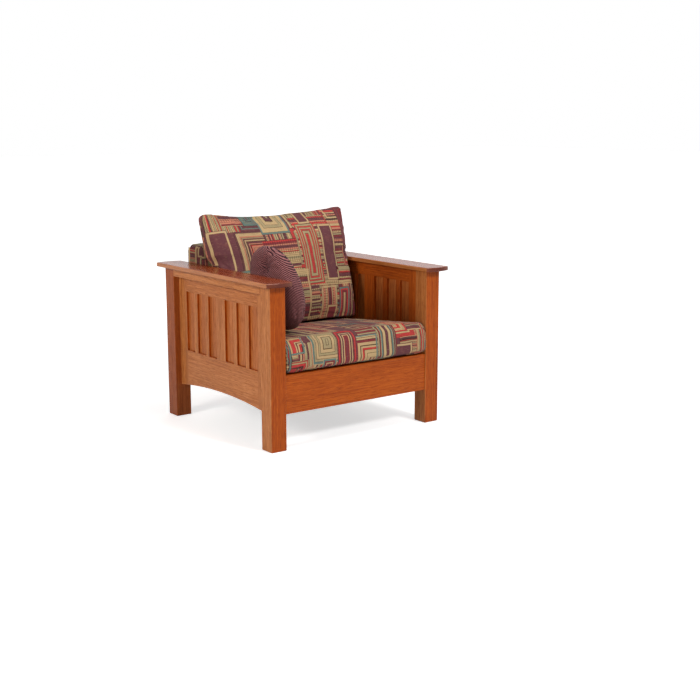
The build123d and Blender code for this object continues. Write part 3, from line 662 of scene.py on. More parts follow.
@dataclass(frozen=True)
class PlainClothFinish(Finish):
    """A plain woven or felted cloth."""

    base: Colour = colour(0.4, 0.35, 0.28)
    thread: float = 0.0011
    felted: float = 0.0  # 1 for felt, which has no threads
    hollow_shade: float = 0.45  # painted shade: how dark the hollows of the weave and fuzz are against the base
    pale_shade: float = 1.35

    def sockets(self, graph: Graph) -> dict:
        """Builds the cloth's nodes.

        Args:
            graph: The material's graph.

        Returns:
            The shader's sockets.
        """
        place = graph.node("ShaderNodeTexCoord", output="Object")
        x, y, z = graph.split(place)
        turn = math.tau / self.thread
        weave = (x * turn).sine() * ((y + z) * turn).sine() * 0.5 + 0.5
        fuzz = graph.cloud(place, scale=420.0, detail=3.0)
        cloudy = graph.cloud(place, scale=16.0, detail=3.0)
        height = weave * (1 - self.felted) + fuzz * (0.3 + self.felted)
        # Painted shade: the cloth is darkened where its weave and fuzz sink.
        shade = graph.mix((height * 0.35).least(1.0), self.base, scaled(self.base, self.hollow_shade))
        pale = scaled(self.base, self.pale_shade)
        shade = graph.mix(graph.between(cloudy, low=0.4, high=0.75) * 0.3, shade, pale)
        return {
            "Base Color": shade,
            "Roughness": 0.84 + fuzz * 0.12,
            "Specular IOR Level": 0.25,
            "Normal": graph.bump(height, 0.5, 0.35 * MILLIMETRE),
        }


@dataclass(frozen=True)
class MetalFinish(Finish):
    """Drawn or pressed steel with fine scratches and dull patches."""

    base: Colour = colour(0.50, 0.50, 0.52)
    roughness: float = 0.34
    dull: Colour = colour(0.27, 0.26, 0.27)

    def sockets(self, graph: Graph) -> dict:
        """Builds the steel's nodes.

        Args:
            graph: The material's graph.

        Returns:
            The shader's sockets.
        """
        place = graph.node("ShaderNodeTexCoord", output="Object")
        x, y, z = graph.split(place)
        scratch = graph.cloud(graph.joined(x * 900.0, y * 120.0, z * 900.0), scale=1.0, detail=2.0)
        patch = graph.cloud(place, scale=70.0, detail=3.0)
        shade = graph.mix(graph.between(patch, low=0.4, high=0.7) * 0.5, self.base, self.dull)
        return {
            "Base Color": shade,
            "Metallic": 1.0,
            "Roughness": self.roughness + (patch - 0.5) * 0.25 + (scratch - 0.5) * 0.15,
            "Normal": graph.bump(scratch, 0.2, 0.1 * MILLIMETRE),
        }


TAPESTRY = TapestryFinish("woven_tapestry")
# A darker copy of the tapestry for the fixed back's cover: painted shade.
SHADED_BACK_TAPESTRY = TapestryFinish("woven_back_tapestry_shaded", brightness=0.70)
SEAM_TAPESTRY = TapestryFinish("woven_cord", scale=1.7, brightness=0.72)
CHENILLE = ChenilleFinish("ribbed_chenille")
CHENILLE_SEAM = PlainClothFinish("plum_seam", base=colour(0.085, 0.024, 0.034), thread=0.0014)
DECK_CLOTH = PlainClothFinish("woven_decking", base=colour(0.17, 0.095, 0.065), thread=0.0012)
FELT = PlainClothFinish("insulator_felt", base=colour(0.50, 0.48, 0.45), thread=0.0012, felted=1.0)
DUST_CLOTH = PlainClothFinish("thin_dust_cloth", base=colour(0.035, 0.034, 0.034), thread=0.0022, felted=0.5)
WEBBING = PlainClothFinish("jute_webbing", base=colour(0.50, 0.37, 0.21), thread=0.0024)
STEEL = MetalFinish("drawn_steel")
GLIDE_STEEL = MetalFinish("glide_steel", base=colour(0.42, 0.41, 0.40), roughness=0.42)


class Recipe:
    """A geometry tree with named sizes that turns a path into a mesh."""

    def __init__(self, name: str, finish: Finish) -> None:
        """Starts the tree.

        Args:
            name: The tree's name.
            finish: What its result is dressed in.
        """
        self.tree = bpy.data.node_groups.new(name, "GeometryNodeTree")
        self.finish = finish
        for way in ("INPUT", "OUTPUT"):
            self.tree.interface.new_socket("Geometry", in_out=way, socket_type="NodeSocketGeometry")
        self.graph = Graph(self.tree)
        self.start = self.graph.node("NodeGroupInput")

    def size(self, name: str, value: float) -> Signal:
        """Adds a named size.

        Args:
            name: Its name.
            value: Its usual value.

        Returns:
            The size as a signal.
        """
        made = self.tree.interface.new_socket(name, in_out="INPUT", socket_type="NodeSocketFloat")
        made.default_value = value
        return self.start[name]

    def path(self, step: Signal) -> Signal:
        """Turns the source's edges into a curve with points a step apart.

        Args:
            step: The distance from one point to the next.

        Returns:
            The curve.
        """
        curve = self.graph.node("GeometryNodeMeshToCurve", None, {"Mesh": self.start["Geometry"]})
        sockets = {"Curve": curve, "Length": step}
        return self.graph.node("GeometryNodeResampleCurve", {"mode": "LENGTH"}, sockets)

    def close(self, geometry: Signal) -> None:
        """Ends the tree with plain geometry and its material.

        Args:
            geometry: What the tree has built.
        """
        real = self.graph.node("GeometryNodeRealizeInstances", None, {"Geometry": geometry})
        sockets = {"Geometry": real, "Material": self.finish.material()}
        dressed = self.graph.node("GeometryNodeSetMaterial", None, sockets)
        self.graph.node("NodeGroupOutput", None, {"Geometry": dressed})

    def scattered(self, part: Signal, step: Signal) -> Signal:
        """Puts a part at each step of the path, its X along the path and its Z along "out".

        Args:
            part: The part's geometry.
            step: The distance from one to the next.

        Returns:
            The instances.
        """
        graph = self.graph
        settings = {"data_type": "FLOAT_VECTOR"}
        out = graph.node("GeometryNodeInputNamedAttribute", settings, {"Name": "out"})
        run = graph.node("GeometryNodeInputTangent")
        turn = graph.node("FunctionNodeAlignRotationToVector", {"axis": "Z"}, {"Vector": out})
        sockets = {"Rotation": turn, "Vector": run}
        settings = {"axis": "X", "pivot_axis": "Z"}
        turn = graph.node("FunctionNodeAlignRotationToVector", settings, sockets)
        sockets = {"Points": self.path(step), "Instance": part, "Rotation": turn}
        return graph.node("GeometryNodeInstanceOnPoints", None, sockets)

    def block(self, size: Signal, at: Signal) -> Signal:
        """Returns a small block of a size at a place."""
        cube = self.graph.node("GeometryNodeMeshCube", None, {"Size": size})
        return self.graph.node("GeometryNodeTransform", None, {"Geometry": cube, "Translation": at})

    def make(
        self, name: str, paths: Sequence["Path"], sizes: dict[str, float]
    ) -> bpy.types.Object:
        """Runs the tree on some paths.

        Args:
            name: The new piece's name.
            paths: The paths that it follows.
            sizes: Values for the named sizes, where not the usual ones.

        Returns:
            A plain mesh piece.
        """
        source = line_object(f"{name}.path", paths)
        modifier = source.modifiers.new("recipe", "NODES")
        modifier.node_group = self.tree
        for item in self.tree.interface.items_tree:
            if item.in_out == "INPUT" and item.name in sizes:
                modifier[item.identifier] = sizes[item.name]
        piece = placed(name, evaluated_mesh(source, name))
        source.modifiers.clear()
        bpy.data.objects.remove(source)
        return piece


class CordRecipe(Recipe):
    """A round cord or seam ridge along a path."""

    def __init__(self, name: str, finish: Finish) -> None:
        """Builds the tree.

        Args:
            name: The tree's name.
            finish: What its result is dressed in.
        """
        super().__init__(name, finish)
        radius = self.size("Radius", 0.003)
        step = self.size("Step", 0.005)
        sockets = {"Resolution": 8, "Radius": radius}
        ring = self.graph.node("GeometryNodeCurvePrimitiveCircle", None, sockets)
        sockets = {"Curve": self.path(step), "Profile Curve": ring, "Fill Caps": True}
        tube = self.graph.node("GeometryNodeCurveToMesh", None, sockets)
        self.close(self.graph.node("GeometryNodeSetShadeSmooth", None, {"Geometry": tube}))


class StapleRecipe(Recipe):
    """Wire staples along a path, each across it."""

    def __init__(self, name: str, finish: Finish) -> None:
        """Builds the tree.

        Args:
            name: The tree's name.
            finish: What its result is dressed in.
        """
        super().__init__(name, finish)
        width = self.size("Width", 0.010)
        wire = self.size("Wire", 0.0011)
        leg = self.size("Leg", 0.003)
        step = self.size("Step", 0.045)
        crown = self.graph.joined(width, wire, wire)
        parts = [self.block(crown, self.graph.joined(0.0, 0.0, 0.0))]
        for sign in (-1.0, 1.0):
            at = self.graph.joined((width - wire) * (sign / 2), 0.0, leg * -0.5)
            parts.append(self.block(self.graph.joined(wire, wire, leg), at))
        staple = self.graph.node("GeometryNodeJoinGeometry")
        for part in parts:
            self.graph.tree.links.new(part.socket, staple.socket.node.inputs[0])
        self.close(self.scattered(staple, step))


@dataclass
class Path:
    """A line of points, with the way out of the surface at each."""

    points: np.ndarray
    out: np.ndarray
    closed: bool = False


def line_object(name: str, paths: Sequence[Path]) -> bpy.types.Object:
    """Makes an object whose edges follow the paths.

    Args:
        name: Its name.
        paths: The paths.

    Returns:
        The object, with the way out of the surface at each point.
    """
    points = np.concatenate([path.points for path in paths])
    edges: list[tuple[int, int]] = []
    first = 0
    for path in paths:
        count = len(path.points)
        edges += [(first + index, first + index + 1) for index in range(count - 1)]
        if path.closed:
            edges.append((first + count - 1, first))
        first += count
    mesh = bpy.data.meshes.new(name)
    mesh.from_pydata(points.tolist(), edges, [])
    out = mesh.attributes.new("out", "FLOAT_VECTOR", "POINT")
    ways = np.concatenate([path.out for path in paths])
    out.data.foreach_set("vector", ways.astype(np.float32).ravel())
    return placed(name, mesh)


def evaluated_mesh(piece: bpy.types.Object, name: str) -> bpy.types.Mesh:
    """Works out a piece's modifiers.

    Args:
        piece: The piece.
        name: The new mesh's name.

    Returns:
        A plain mesh.
    """
    bpy.context.view_layer.update()
    graph = bpy.context.evaluated_depsgraph_get()
    mesh = bpy.data.meshes.new_from_object(piece.evaluated_get(graph))
    mesh.name = name
    return mesh


def vectors_of(rows: bpy.types.bpy_prop_collection, name: str) -> np.ndarray:
    """Reads one vector of each item of a mesh.

    Args:
        rows: The items, such as a mesh's points.
        name: The vector's name.

    Returns:
        The vectors, one in each row.
    """
    values = np.empty(len(rows) * 3, np.float32)
    rows.foreach_get(name, values)
    return values.reshape(-1, 3).astype(float)


def points_of(mesh: bpy.types.Mesh) -> np.ndarray:
    """Returns a mesh's points, one in each row."""
    return vectors_of(mesh.vertices, "co")


def normals_of(mesh: bpy.types.Mesh) -> np.ndarray:
    """Returns the way out at each of a mesh's points."""
    return vectors_of(mesh.vertex_normals, "vector")


def corners_of(mesh: bpy.types.Mesh) -> np.ndarray:
    """Finds the point that each face corner stands on.

    Args:
        mesh: The mesh.

    Returns:
        The points' numbers, one for each corner.
    """
    corner = np.empty(len(mesh.loops), np.int32)
    mesh.loops.foreach_get("vertex_index", corner)
    return corner


def write_cloth_map(mesh: bpy.types.Mesh, places: np.ndarray) -> None:
    """Writes each face corner's place on the flat cloth as the UV map."""
    layer = mesh.uv_layers.new(name=UV_NAME)
    layer.data.foreach_set("uv", places.astype(np.float32).ravel())


def move_points(mesh: bpy.types.Mesh, points: np.ndarray) -> None:
    """Puts a mesh's points at new places."""
    mesh.vertices.foreach_set("co", points.astype(np.float32).ravel())
    mesh.update()


def ripples(places: np.ndarray, seed: float) -> np.ndarray:
    """Returns smooth noise from -1 to 1 at each place."""
    shift = Vector((seed, seed * 0.7, -seed))
    return np.array([noise.noise(Vector(place) + shift) for place in places.tolist()])


def merged_copy(node: str, name: str) -> bpy.types.Object:
    """Copies a CAD node and joins its loose triangles.

    Args:
        node: The CAD node.
        name: The new piece's name.

    Returns:
        The new piece.
    """
    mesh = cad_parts[node].data.copy()
    mesh.name = name
    mesh.materials.clear()
    work = bmesh.new()
    work.from_mesh(mesh)
    bmesh.ops.remove_doubles(work, verts=work.verts, dist=JOINING_DISTANCE)
    work.to_mesh(mesh)
    work.free()
    for stale in ("custom_normal", "sharp_face"):
        layer = mesh.attributes.get(stale)
        if layer is not None:
            mesh.attributes.remove(layer)
    return placed(name, mesh)


def sliced_copy(node: str, name: str, step: float) -> bpy.types.Object:
    """Returns a joined copy of a CAD node, cut into a fine net.

    Args:
        node: The CAD node.
        name: The new piece's name.
        step: The net's spacing.

    Returns:
        The new piece.
    """
    piece = merged_copy(node, name)
    low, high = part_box(node)
    work = bmesh.new()
    work.from_mesh(piece.data)
    for axis in range(3):
        direction = Vector([float(axis == index) for index in range(3)])
        for place in np.arange(low[axis] + step, high[axis] - step / 2, step):
            everything = work.verts[:] + work.edges[:] + work.faces[:]
            point = direction * float(place)
            bmesh.ops.bisect_plane(work, geom=everything, plane_co=point, plane_no=direction)
    bmesh.ops.triangulate(work, faces=work.faces)
    work.to_mesh(piece.data)
    work.free()
    return piece


def smooth(piece: bpy.types.Object) -> None:
    """Shades a piece smoothly."""
    piece.data.polygons.foreach_set("use_smooth", [True] * len(piece.data.polygons))
    piece.data.update()


@dataclass(frozen=True)
class Basis:
    """A soft piece's own frame: an origin and three directions."""

    origin: Vector
    across: Vector
    up: Vector
    out: Vector

    def rows(self) -> np.ndarray:
        """Returns the three directions, one in each row."""
        return np.array([self.across, self.up, self.out])

    def local(self, points: np.ndarray) -> np.ndarray:
        """Returns points measured across, up and out."""
        return (points - np.array(self.origin)) @ self.rows().T

    def world(self, points: np.ndarray) -> np.ndarray:
        """Returns local points in the chair's frame."""
        return points @ self.rows() + np.array(self.origin)


@dataclass(frozen=True)
class Stuffing:
    """How a soft piece is meshed and filled."""

    voxel: float = 0.0066  # the spacing of the net
    start_inset: float = 0.005  # how far in the cover lies before it is filled
    pressure: float = 4.0
    most_swell: float = 0.022  # how far the filled cover may move at most
    most_sink: float = 0.002  # how far in from its start it may draw
    spare_cloth: float = 0.03  # how much larger the cover is than its form
    frames: int = 20
    fill: float = 0.7


@dataclass
class SoftPiece:
    """A stuffed piece that takes the place of a CAD node."""

    node: str = ""
    name: str = ""
    body: str = ""
    slot: str = "tapestry"
    finish: Finish = TAPESTRY
    stuffing: Stuffing = Stuffing()
    skin_gap: float = 0.0001
    piece: bpy.types.Object = field(init=False, default=None)

    def basis(self) -> Basis:
        """Returns the piece's own frame; each piece has its own."""
        raise NotImplementedError

    def shaped(self, local: np.ndarray) -> np.ndarray:
        """Returns the points after any change of outline; most pieces have none."""
        return local

    def folds(self, local: np.ndarray, normals: np.ndarray) -> np.ndarray:
        """Returns how far in each point is drawn by seams and folds; each piece has its own."""
        raise NotImplementedError

    def cloth_places(self, local: np.ndarray, normals: np.ndarray) -> np.ndarray:
        """Returns each point's place on the flat cloth; each piece has its own."""
        raise NotImplementedError

    def trimmings(self) -> list[bpy.types.Object]:
        """Adds and returns what goes with the piece, such as its cords; each piece has its own."""
        raise NotImplementedError

    def build(self) -> list[bpy.types.Object]:
        """Builds the stuffed piece, dresses it and sets it on its body.

        Returns:
            The piece and its trimmings.
        """
        self.shell()
        self.swell()
        self.refine()
        self.hold_inside()
        self.lay_cloth()
        self.crease()
        smooth(self.piece)
        self.finish.dress(self.piece)
        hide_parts(self.node)
        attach(self.piece, self.body)
        return [self.piece, *self.trimmings()]

    def shell(self) -> None:
        """Makes the even net of quads that the filling pushes out."""
        rough = merged_copy(self.node, f"{self.name}.rough")
        modifier = rough.modifiers.new("net", "REMESH")
        modifier.mode = "VOXEL"
        modifier.voxel_size = self.stuffing.voxel
        self.piece = placed(self.name, evaluated_mesh(rough, self.name))
        bpy.data.objects.remove(rough)

    def swell(self) -> None:
        """Fills the cover by cloth simulation and keeps the result as plain points."""
        mesh = self.piece.data
        normals = normals_of(mesh)
        start = points_of(mesh) - normals * self.stuffing.start_inset
        move_points(mesh, start)
        modifier = self.piece.modifiers.new("filling", "CLOTH")
        cloth = modifier.settings
        cloth.quality = 4
        cloth.mass = 0.3
        cloth.tension_stiffness = cloth.compression_stiffness = 12.0
        cloth.shear_stiffness = 5.0
        cloth.bending_stiffness = 0.6
        cloth.shrink_min = -self.stuffing.spare_cloth
        cloth.use_pressure = True
        cloth.uniform_pressure_force = self.stuffing.pressure
        cloth.effector_weights.gravity = 0.0
        modifier.collision_settings.use_collision = False
        modifier.point_cache.frame_start = 1
        modifier.point_cache.frame_end = self.stuffing.frames
        scene = bpy.context.scene
        for step in range(1, self.stuffing.frames + 1):
            scene.frame_set(step)
        graph = bpy.context.evaluated_depsgraph_get()
        full = points_of(self.piece.evaluated_get(graph).to_mesh())
        self.piece.modifiers.clear()
        scene.frame_set(1)
        travel = full - start
        reach = np.linalg.norm(travel, axis=1, keepdims=True)
        travel *= np.minimum(1.0, self.stuffing.most_swell / np.maximum(reach, NEARLY_NOUGHT))
        outward = (travel * normals).sum(1, keepdims=True)
        travel += normals * (np.maximum(outward, -self.stuffing.most_sink) - outward)
        move_points(mesh, start + travel)

    def refine(self) -> None:
        """Divides the net once, smoothly."""
        modifier = self.piece.modifiers.new("divide", "SUBSURF")
        modifier.levels = modifier.render_levels = 1
        mesh = evaluated_mesh(self.piece, self.name)
        self.piece.modifiers.clear()
        self.piece.data = mesh

    def crease(self) -> None:
        """Draws the cover in at its seams and folds."""
        mesh = self.piece.data
        points, normals = points_of(mesh), normals_of(mesh)
        basis = self.basis()
        local = self.shaped(basis.local(points))
        depth = np.maximum(self.folds(local, normals @ basis.rows().T), 0.0)
        move_points(mesh, basis.world(local) - normals * depth[:, None])

    def hold_inside(self) -> None:
        """Brings back what stands outside the space that the CAD node holds."""
        source = merged_copy(self.node, f"{self.name}.space")
        work = bmesh.new()
        work.from_mesh(source.data)
        tree = BVHTree.FromBMesh(work)
        points = points_of(self.piece.data)
        for index, point in enumerate(points):
            near, normal, _, _ = tree.find_nearest(Vector(point))
            if (Vector(point) - near).dot(normal) > -self.skin_gap:
                points[index] = near - normal * self.skin_gap
        move_points(self.piece.data, points)
        work.free()
        bpy.data.objects.remove(source)

    def lay_cloth(self) -> None:
        """Writes the flat cloth's places as the piece's UV map."""
        mesh = self.piece.data
        basis = self.basis()
        sides = np.empty(len(mesh.polygons), np.int32)
        mesh.polygons.foreach_get("loop_total", sides)
        facing = vectors_of(mesh.polygons, "normal") @ basis.rows().T
        local = basis.local(points_of(mesh))[corners_of(mesh)]
        write_cloth_map(mesh, self.cloth_places(local, np.repeat(facing, sides, axis=0)))

    def seam(self, starts: np.ndarray, ways: np.ndarray, sink: float, closed: bool) -> Path:
        """Casts a seam line on the surface from inside the piece.

        Args:
            starts: Local points inside it.
            ways: Local directions to look in.
            sink: How far the line lies under the surface.
            closed: Whether the line meets its start.

        Returns:
            The seam's path.
        """
        basis = self.basis()
        tree = BVHTree.FromObject(self.piece, bpy.context.evaluated_depsgraph_get())
        points, out = [], []
        for start, way in zip(basis.world(starts), ways @ basis.rows()):
            direction = Vector(way).normalized()
            hit = tree.ray_cast(Vector(start), direction)[0]
            if hit is not None:
                points.append(hit - direction * sink)
                out.append(direction)
        return Path(np.array(points), np.array(out), closed)

    def trim(
        self, recipe: Recipe, suffix: str, paths: Sequence[Path], sizes: dict[str, float]
    ) -> bpy.types.Object:
        """Adds a cord that goes with the piece.

        Args:
            recipe: What is added.
            suffix: The end of its name.
            paths: Where it runs.
            sizes: The recipe's sizes.

        Returns:
            The added piece.
        """
        added = recipe.make(f"{self.name}_{suffix}", paths, sizes)
        box_map(added)
        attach(added, self.body)
        return added


def box_map(piece: bpy.types.Object) -> None:
    """Lays the cloth map on a small trim by its own places.

    Args:
        piece: The trim.
    """
    mesh = piece.data
    for layer in list(mesh.uv_layers):
        mesh.uv_layers.remove(layer)
    x, y, z = points_of(mesh)[corners_of(mesh)].T
    write_cloth_map(mesh, np.stack([x + y, z - y * 0.5], axis=1))


def fan(first: float, last: float, count: int) -> np.ndarray:
    """Returns unit directions in a plane, swept between two angles in degrees."""
    angles = np.radians(np.linspace(first, last, count))
    return np.stack([np.cos(angles), np.sin(angles)], axis=1)


def around_box(
    low: tuple[float, float], high: tuple[float, float], count: int
) -> tuple[np.ndarray, np.ndarray]:
    """Looks out from a flat box all the way round.

    Args:
        low: The box's low corner in the plane.
        high: Its high corner.
        count: How many looks each side and each corner gets.

    Returns:
        The starts and the directions, in the plane.
    """
    starts, ways = [], []
    corners = ((high[0], low[1]), (high[0], high[1]), (low[0], high[1]), (low[0], low[1]))
    for index, corner in enumerate(corners):
        facing = 90.0 * index
        following = corners[(index + 1) % 4]
        share = np.linspace(0.0, 1.0, count)[:, None]
        starts.append(np.array(corner) * (1 - share) + np.array(following) * share)
        ways.append(np.repeat(fan(facing, facing, 1), count, axis=0))
        starts.append(np.repeat(np.array([following], float), count, axis=0))
        ways.append(fan(facing, facing + 90.0, count))
    return np.concatenate(starts), np.concatenate(ways)


@dataclass
class SeatCushion(SoftPiece):
    """The loose box cushion with a waterfall front."""

    node: str = "seat_cushion"
    name: str = "seat_cushion_cover"
    body: str = "seat_cushion"
    stuffing: Stuffing = Stuffing(voxel=0.0070, fill=0.85)
    pitch_degrees: float = 6.0
    front: tuple[float, float, float] = (0.0, -0.3865, 0.291)
    front_along: float = -0.022
    length: float = 0.601
    thickness: float = 0.130
    half_width: float = 0.3374
    seam_inset: float = 0.0095
    cord_radius: float = 0.0030
    cord_sunk_share: float = 0.35
    look_inset: float = 0.060  # the welts are cast from a box this far in from the ends
    look_heights: tuple[float, float] = (0.052, 0.078)
    looks: int = 24
    pull_depth: float = 0.0060  # the ripples beside the welts
    pull_reach: float = 0.030
    pull_net: tuple[float, float] = (7.0, 34.0)  # ripples per metre, across and along the welts
    dent_depth: float = 0.0034  # the broad dents
    dent_net: float = 5.5
    soft_depth: float = 0.0012
    soft_net: float = 13.0
    end_facing: float = 0.72  # how far to the side the ends' boxing faces
    under_share: float = 0.45  # how much of the thickness may count as the underside
    cloth_cut: tuple[float, float] = (0.57, 1.24)  # where in the weave the main panel is cut
    end_cut: tuple[float, float] = (1.3, 0.37)

    def basis(self) -> Basis:
        """Returns the seat's own frame: across, back along the seat, and up from it."""
        turn = math.radians(self.pitch_degrees)
        along = Vector((0.0, math.cos(turn), -math.sin(turn)))
        above = Vector((0.0, math.sin(turn), math.cos(turn)))
        origin = Vector(self.front) + along * self.front_along
        return Basis(origin, Vector((1.0, 0.0, 0.0)), along, above)

    def folds(self, local: np.ndarray, normals: np.ndarray) -> np.ndarray:
        """Works out how the cover is drawn in beside its side seams and over its top.

        Args:
            local: The points in the piece's own frame.
            normals: The ways out there, in the same frame; not used here.

        Returns:
            How far in each point is drawn.
        """
        from_seam = np.abs(local[:, 0]) - (self.half_width - self.seam_inset)
        near = np.exp(-np.abs(from_seam) / self.pull_reach)
        round_place = (local[:, 1] - local[:, 2]) * self.pull_net[1]
        level = np.zeros(len(local))
        pull = ripples(np.stack([local[:, 0] * self.pull_net[0], round_place, level], 1), seed=3.0)
        broad = ripples(local * self.dent_net, seed=8.0)
        soft = ripples(local * self.soft_net, seed=15.0)
        depth = near * np.maximum(pull, -0.1) * self.pull_depth
        return depth + (broad + 0.25) * self.dent_depth + soft * self.soft_depth

    def cloth_places(self, local: np.ndarray, normals: np.ndarray) -> np.ndarray:
        """Lays the cloth: the main panel wraps the front, and the ends are boxing.

        Args:
            local: The points in the piece's own frame.
            normals: The ways out there, in the same frame.

        Returns:
            Each point's place on the flat cloth.
        """
        x, along, above = local.T
        is_end = np.abs(normals[:, 0]) > self.end_facing
        under = above < self.thickness * self.under_share
        top_run = along - (self.thickness - above)
        under_run = -self.thickness - along + above
        run = np.where(under & (normals[:, 2] < -0.5), under_run, top_run)
        main = np.stack([x + self.cloth_cut[0], run + self.cloth_cut[1]], 1)
        end = np.stack([along * np.sign(x) + self.end_cut[0], above + self.end_cut[1]], 1)
        return np.where(is_end[:, None], end, main)

    def trimmings(self) -> list[bpy.types.Object]:
        """Adds the welts round both ends.

        Returns:
            The welts, as one piece.
        """
        foot, top = self.look_heights
        low, high = (self.look_inset, foot), (self.length - self.look_inset, top)
        flat_starts, flat_ways = around_box(low, high, self.looks)
        welts = []
        for sign in (-1.0, 1.0):
            place = np.full((len(flat_starts), 1), sign * (self.half_width - self.seam_inset))
            starts = np.concatenate([place, flat_starts], 1)
            ways = np.concatenate([np.zeros_like(place), flat_ways], 1)
            welts.append(self.seam(starts, ways, self.cord_radius * self.cord_sunk_share, closed=True))
        cord = CordRecipe("cushion_cord", SEAM_TAPESTRY)
        return [self.trim(cord, "welts", welts, {"Radius": self.cord_radius})]


@dataclass
class BackCushion(SoftPiece):
    """The loose back pillow with a knife edge."""

    node: str = "back_cushion"
    name: str = "back_cushion_cover"
    body: str = "back_cushion"
    stuffing: Stuffing = Stuffing(
        voxel=0.0064, start_inset=0.002, most_swell=0.024, most_sink=0.001, fill=0.65
    )
    skin_gap: float = 0.0002
    lean_degrees: float = 15.5
    top: tuple[float, float] = (0.196, 0.838)
    height: float = 0.505
    half_width: float = 0.337
    dip: float = 0.022
    corner_radius: float = 0.046
    corner_drop: float = 0.001
    corner_fullness: float = 0.013
    top_spread: float = 0.036
    top_lean: float = 0.006  # how far the free top leans to the left
    top_rise: float = 0.009
    free_above: float = 0.29
    tuck: float = 0.010  # how far the sides turn under just over the arms
    tuck_rise: float = 0.016
    tuck_width: float = 0.018
    tuck_reach: float = 0.06
    pull_depth: float = 0.0100  # the gathers at the seam
    pull_reach: float = 0.050
    pull_net: tuple[float, float] = (26.0, 6.0)  # gathers per metre, along the seam and away from it
    fine_depth: float = 0.0024
    fine_net: tuple[float, float] = (60.0, 10.0)
    twist_depth: float = 0.010  # the slanting folds at the corners
    twist_reach: float = 0.09
    twist_net: tuple[float, float] = (11.0, 3.0)  # folds per metre, across and along their slant
    dent_depth: float = 0.0070  # the sitters' dents
    dent_net: tuple[float, float, float] = (4.6, 3.6, 4.0)
    seam_width: float = 0.004  # nearer the seam than this nothing is gathered
    cloth_cut: tuple[float, float] = (2.7, 0.33)  # where in the weave the front is cut
    rear_cut: float = 1.4  # how much further on the rear is cut
    corner_reach: float = 0.060  # how far the fuller corners reach in
    edge_thickness: float = 0.006
    ridge_radius: float = 0.0016
    ridge_sunk_share: float = 0.8
    look_half_width: float = 0.20  # the seam is cast from a box of this size inside
    look_heights: tuple[float, float, float] = (0.16, 0.30, 0.40)
    looks: int = 30

    def basis(self) -> Basis:
        """Returns the pillow's own frame: across, up its face, and out of its front."""
        lean = math.radians(self.lean_degrees)
        up = Vector((0.0, math.sin(lean), math.cos(lean)))
        out = Vector((0.0, -math.cos(lean), math.sin(lean)))
        origin = Vector((0.0, *self.top)) - up * self.height
        return Basis(origin, Vector((1.0, 0.0, 0.0)), up, out)

    def shaped(self, local: np.ndarray) -> np.ndarray:
        """Spreads the free top, and rounds and fills both top corners.

        Args:
            local: The points in the piece's own frame.

        Returns:
            Their new places.
        """
        free = np.clip((local[:, 1] - self.free_above) / (self.height - self.free_above), 0.0, 1.0)
        free = free * (2 - free)
        local = local.copy()
        local[:, 0] = local[:, 0] * (1 + self.top_spread * free) - self.top_lean * free
        local[:, 1] += self.top_rise * free
        rounded_top = self.height + self.top_rise
        half = self.half_width * (1 + self.top_spread)
        offset = local[:, 0] + self.top_lean
        side = np.abs(offset) - (half - self.corner_radius)
        rise = local[:, 1] - (rounded_top - self.corner_radius - self.corner_drop)
        reach = np.hypot(np.maximum(side, 0.0), np.maximum(rise, 0.0))
        kept = np.minimum(1.0, self.corner_radius / np.maximum(reach, NEARLY_NOUGHT))
        share = np.where((side > 0) & (rise > 0), kept, 1.0)
        turned = local.copy()
        turned[:, 0] -= np.sign(offset) * np.maximum(side, 0.0) * (1 - share)
        turned[:, 1] -= np.maximum(rise, 0.0) * (1 - share)
        to_corner = np.hypot(half - np.abs(offset), rounded_top - turned[:, 1])
        corner = np.exp(-to_corner / self.corner_reach)
        face = np.clip(local[:, 2] / self.edge_thickness, -1.0, 1.0)
        turned[:, 2] += face * corner * self.corner_fullness
        return turned

    def folds(self, local: np.ndarray, normals: np.ndarray) -> np.ndarray:
        """Works out how the seams and the sitters' dents draw the cover in.

        Args:
            local: The points in the piece's own frame.
            normals: The ways out there, in the same frame; not used here.

        Returns:
            How far in each point is drawn.
        """
        x, up, out = local.T
        from_side = self.half_width - np.abs(x)
        from_top = self.height - self.dip * (1 - (x / self.half_width) ** 2) - up
        from_seam = np.minimum(from_side, from_top)
        place = np.where(from_side < from_top, up, x)
        seed_place = np.where(from_side < from_top, np.sign(x) * 3.0, 0.0)
        wide, narrow = self.pull_net, self.fine_net
        pull = ripples(np.stack([place * wide[0], from_seam * wide[1], seed_place], 1), seed=5.0)
        fine = ripples(np.stack([place * narrow[0], from_seam * narrow[1], seed_place], 1), seed=9.0)
        near = np.exp(-np.maximum(from_seam, 0.0) / self.pull_reach) * (from_seam > self.seam_width)
        corner = np.exp(-np.hypot(from_side, from_top) / self.twist_reach)
        slant, run = self.twist_net
        twist = ripples(np.stack([(x - up) * slant, (x + up) * run, out * run], 1), seed=12.0)
        broad = ripples(local * np.array(self.dent_net), seed=21.0)
        depth = near * (np.maximum(pull, -0.15) * self.pull_depth + fine * self.fine_depth)
        from_tuck = (up - self.free_above - self.tuck_rise) / self.tuck_width
        under = np.exp(-(from_tuck**2)) * np.exp(-np.maximum(from_side, 0.0) / self.tuck_reach)
        depth = depth + corner * twist * self.twist_depth + (broad + 0.2) * self.dent_depth
        return depth + under * self.tuck

    def cloth_places(self, local: np.ndarray, normals: np.ndarray) -> np.ndarray:
        """Lays the cloth, with the rear panel cut further along it.

        Args:
            local: The points in the piece's own frame.
            normals: The ways out there, in the same frame.

        Returns:
            Each point's place on the flat cloth.
        """
        rear = normals[:, 2] < 0.0
        u = local[:, 0] + self.cloth_cut[0] + self.rear_cut * rear
        return np.stack([u, local[:, 1] + self.cloth_cut[1]], 1)

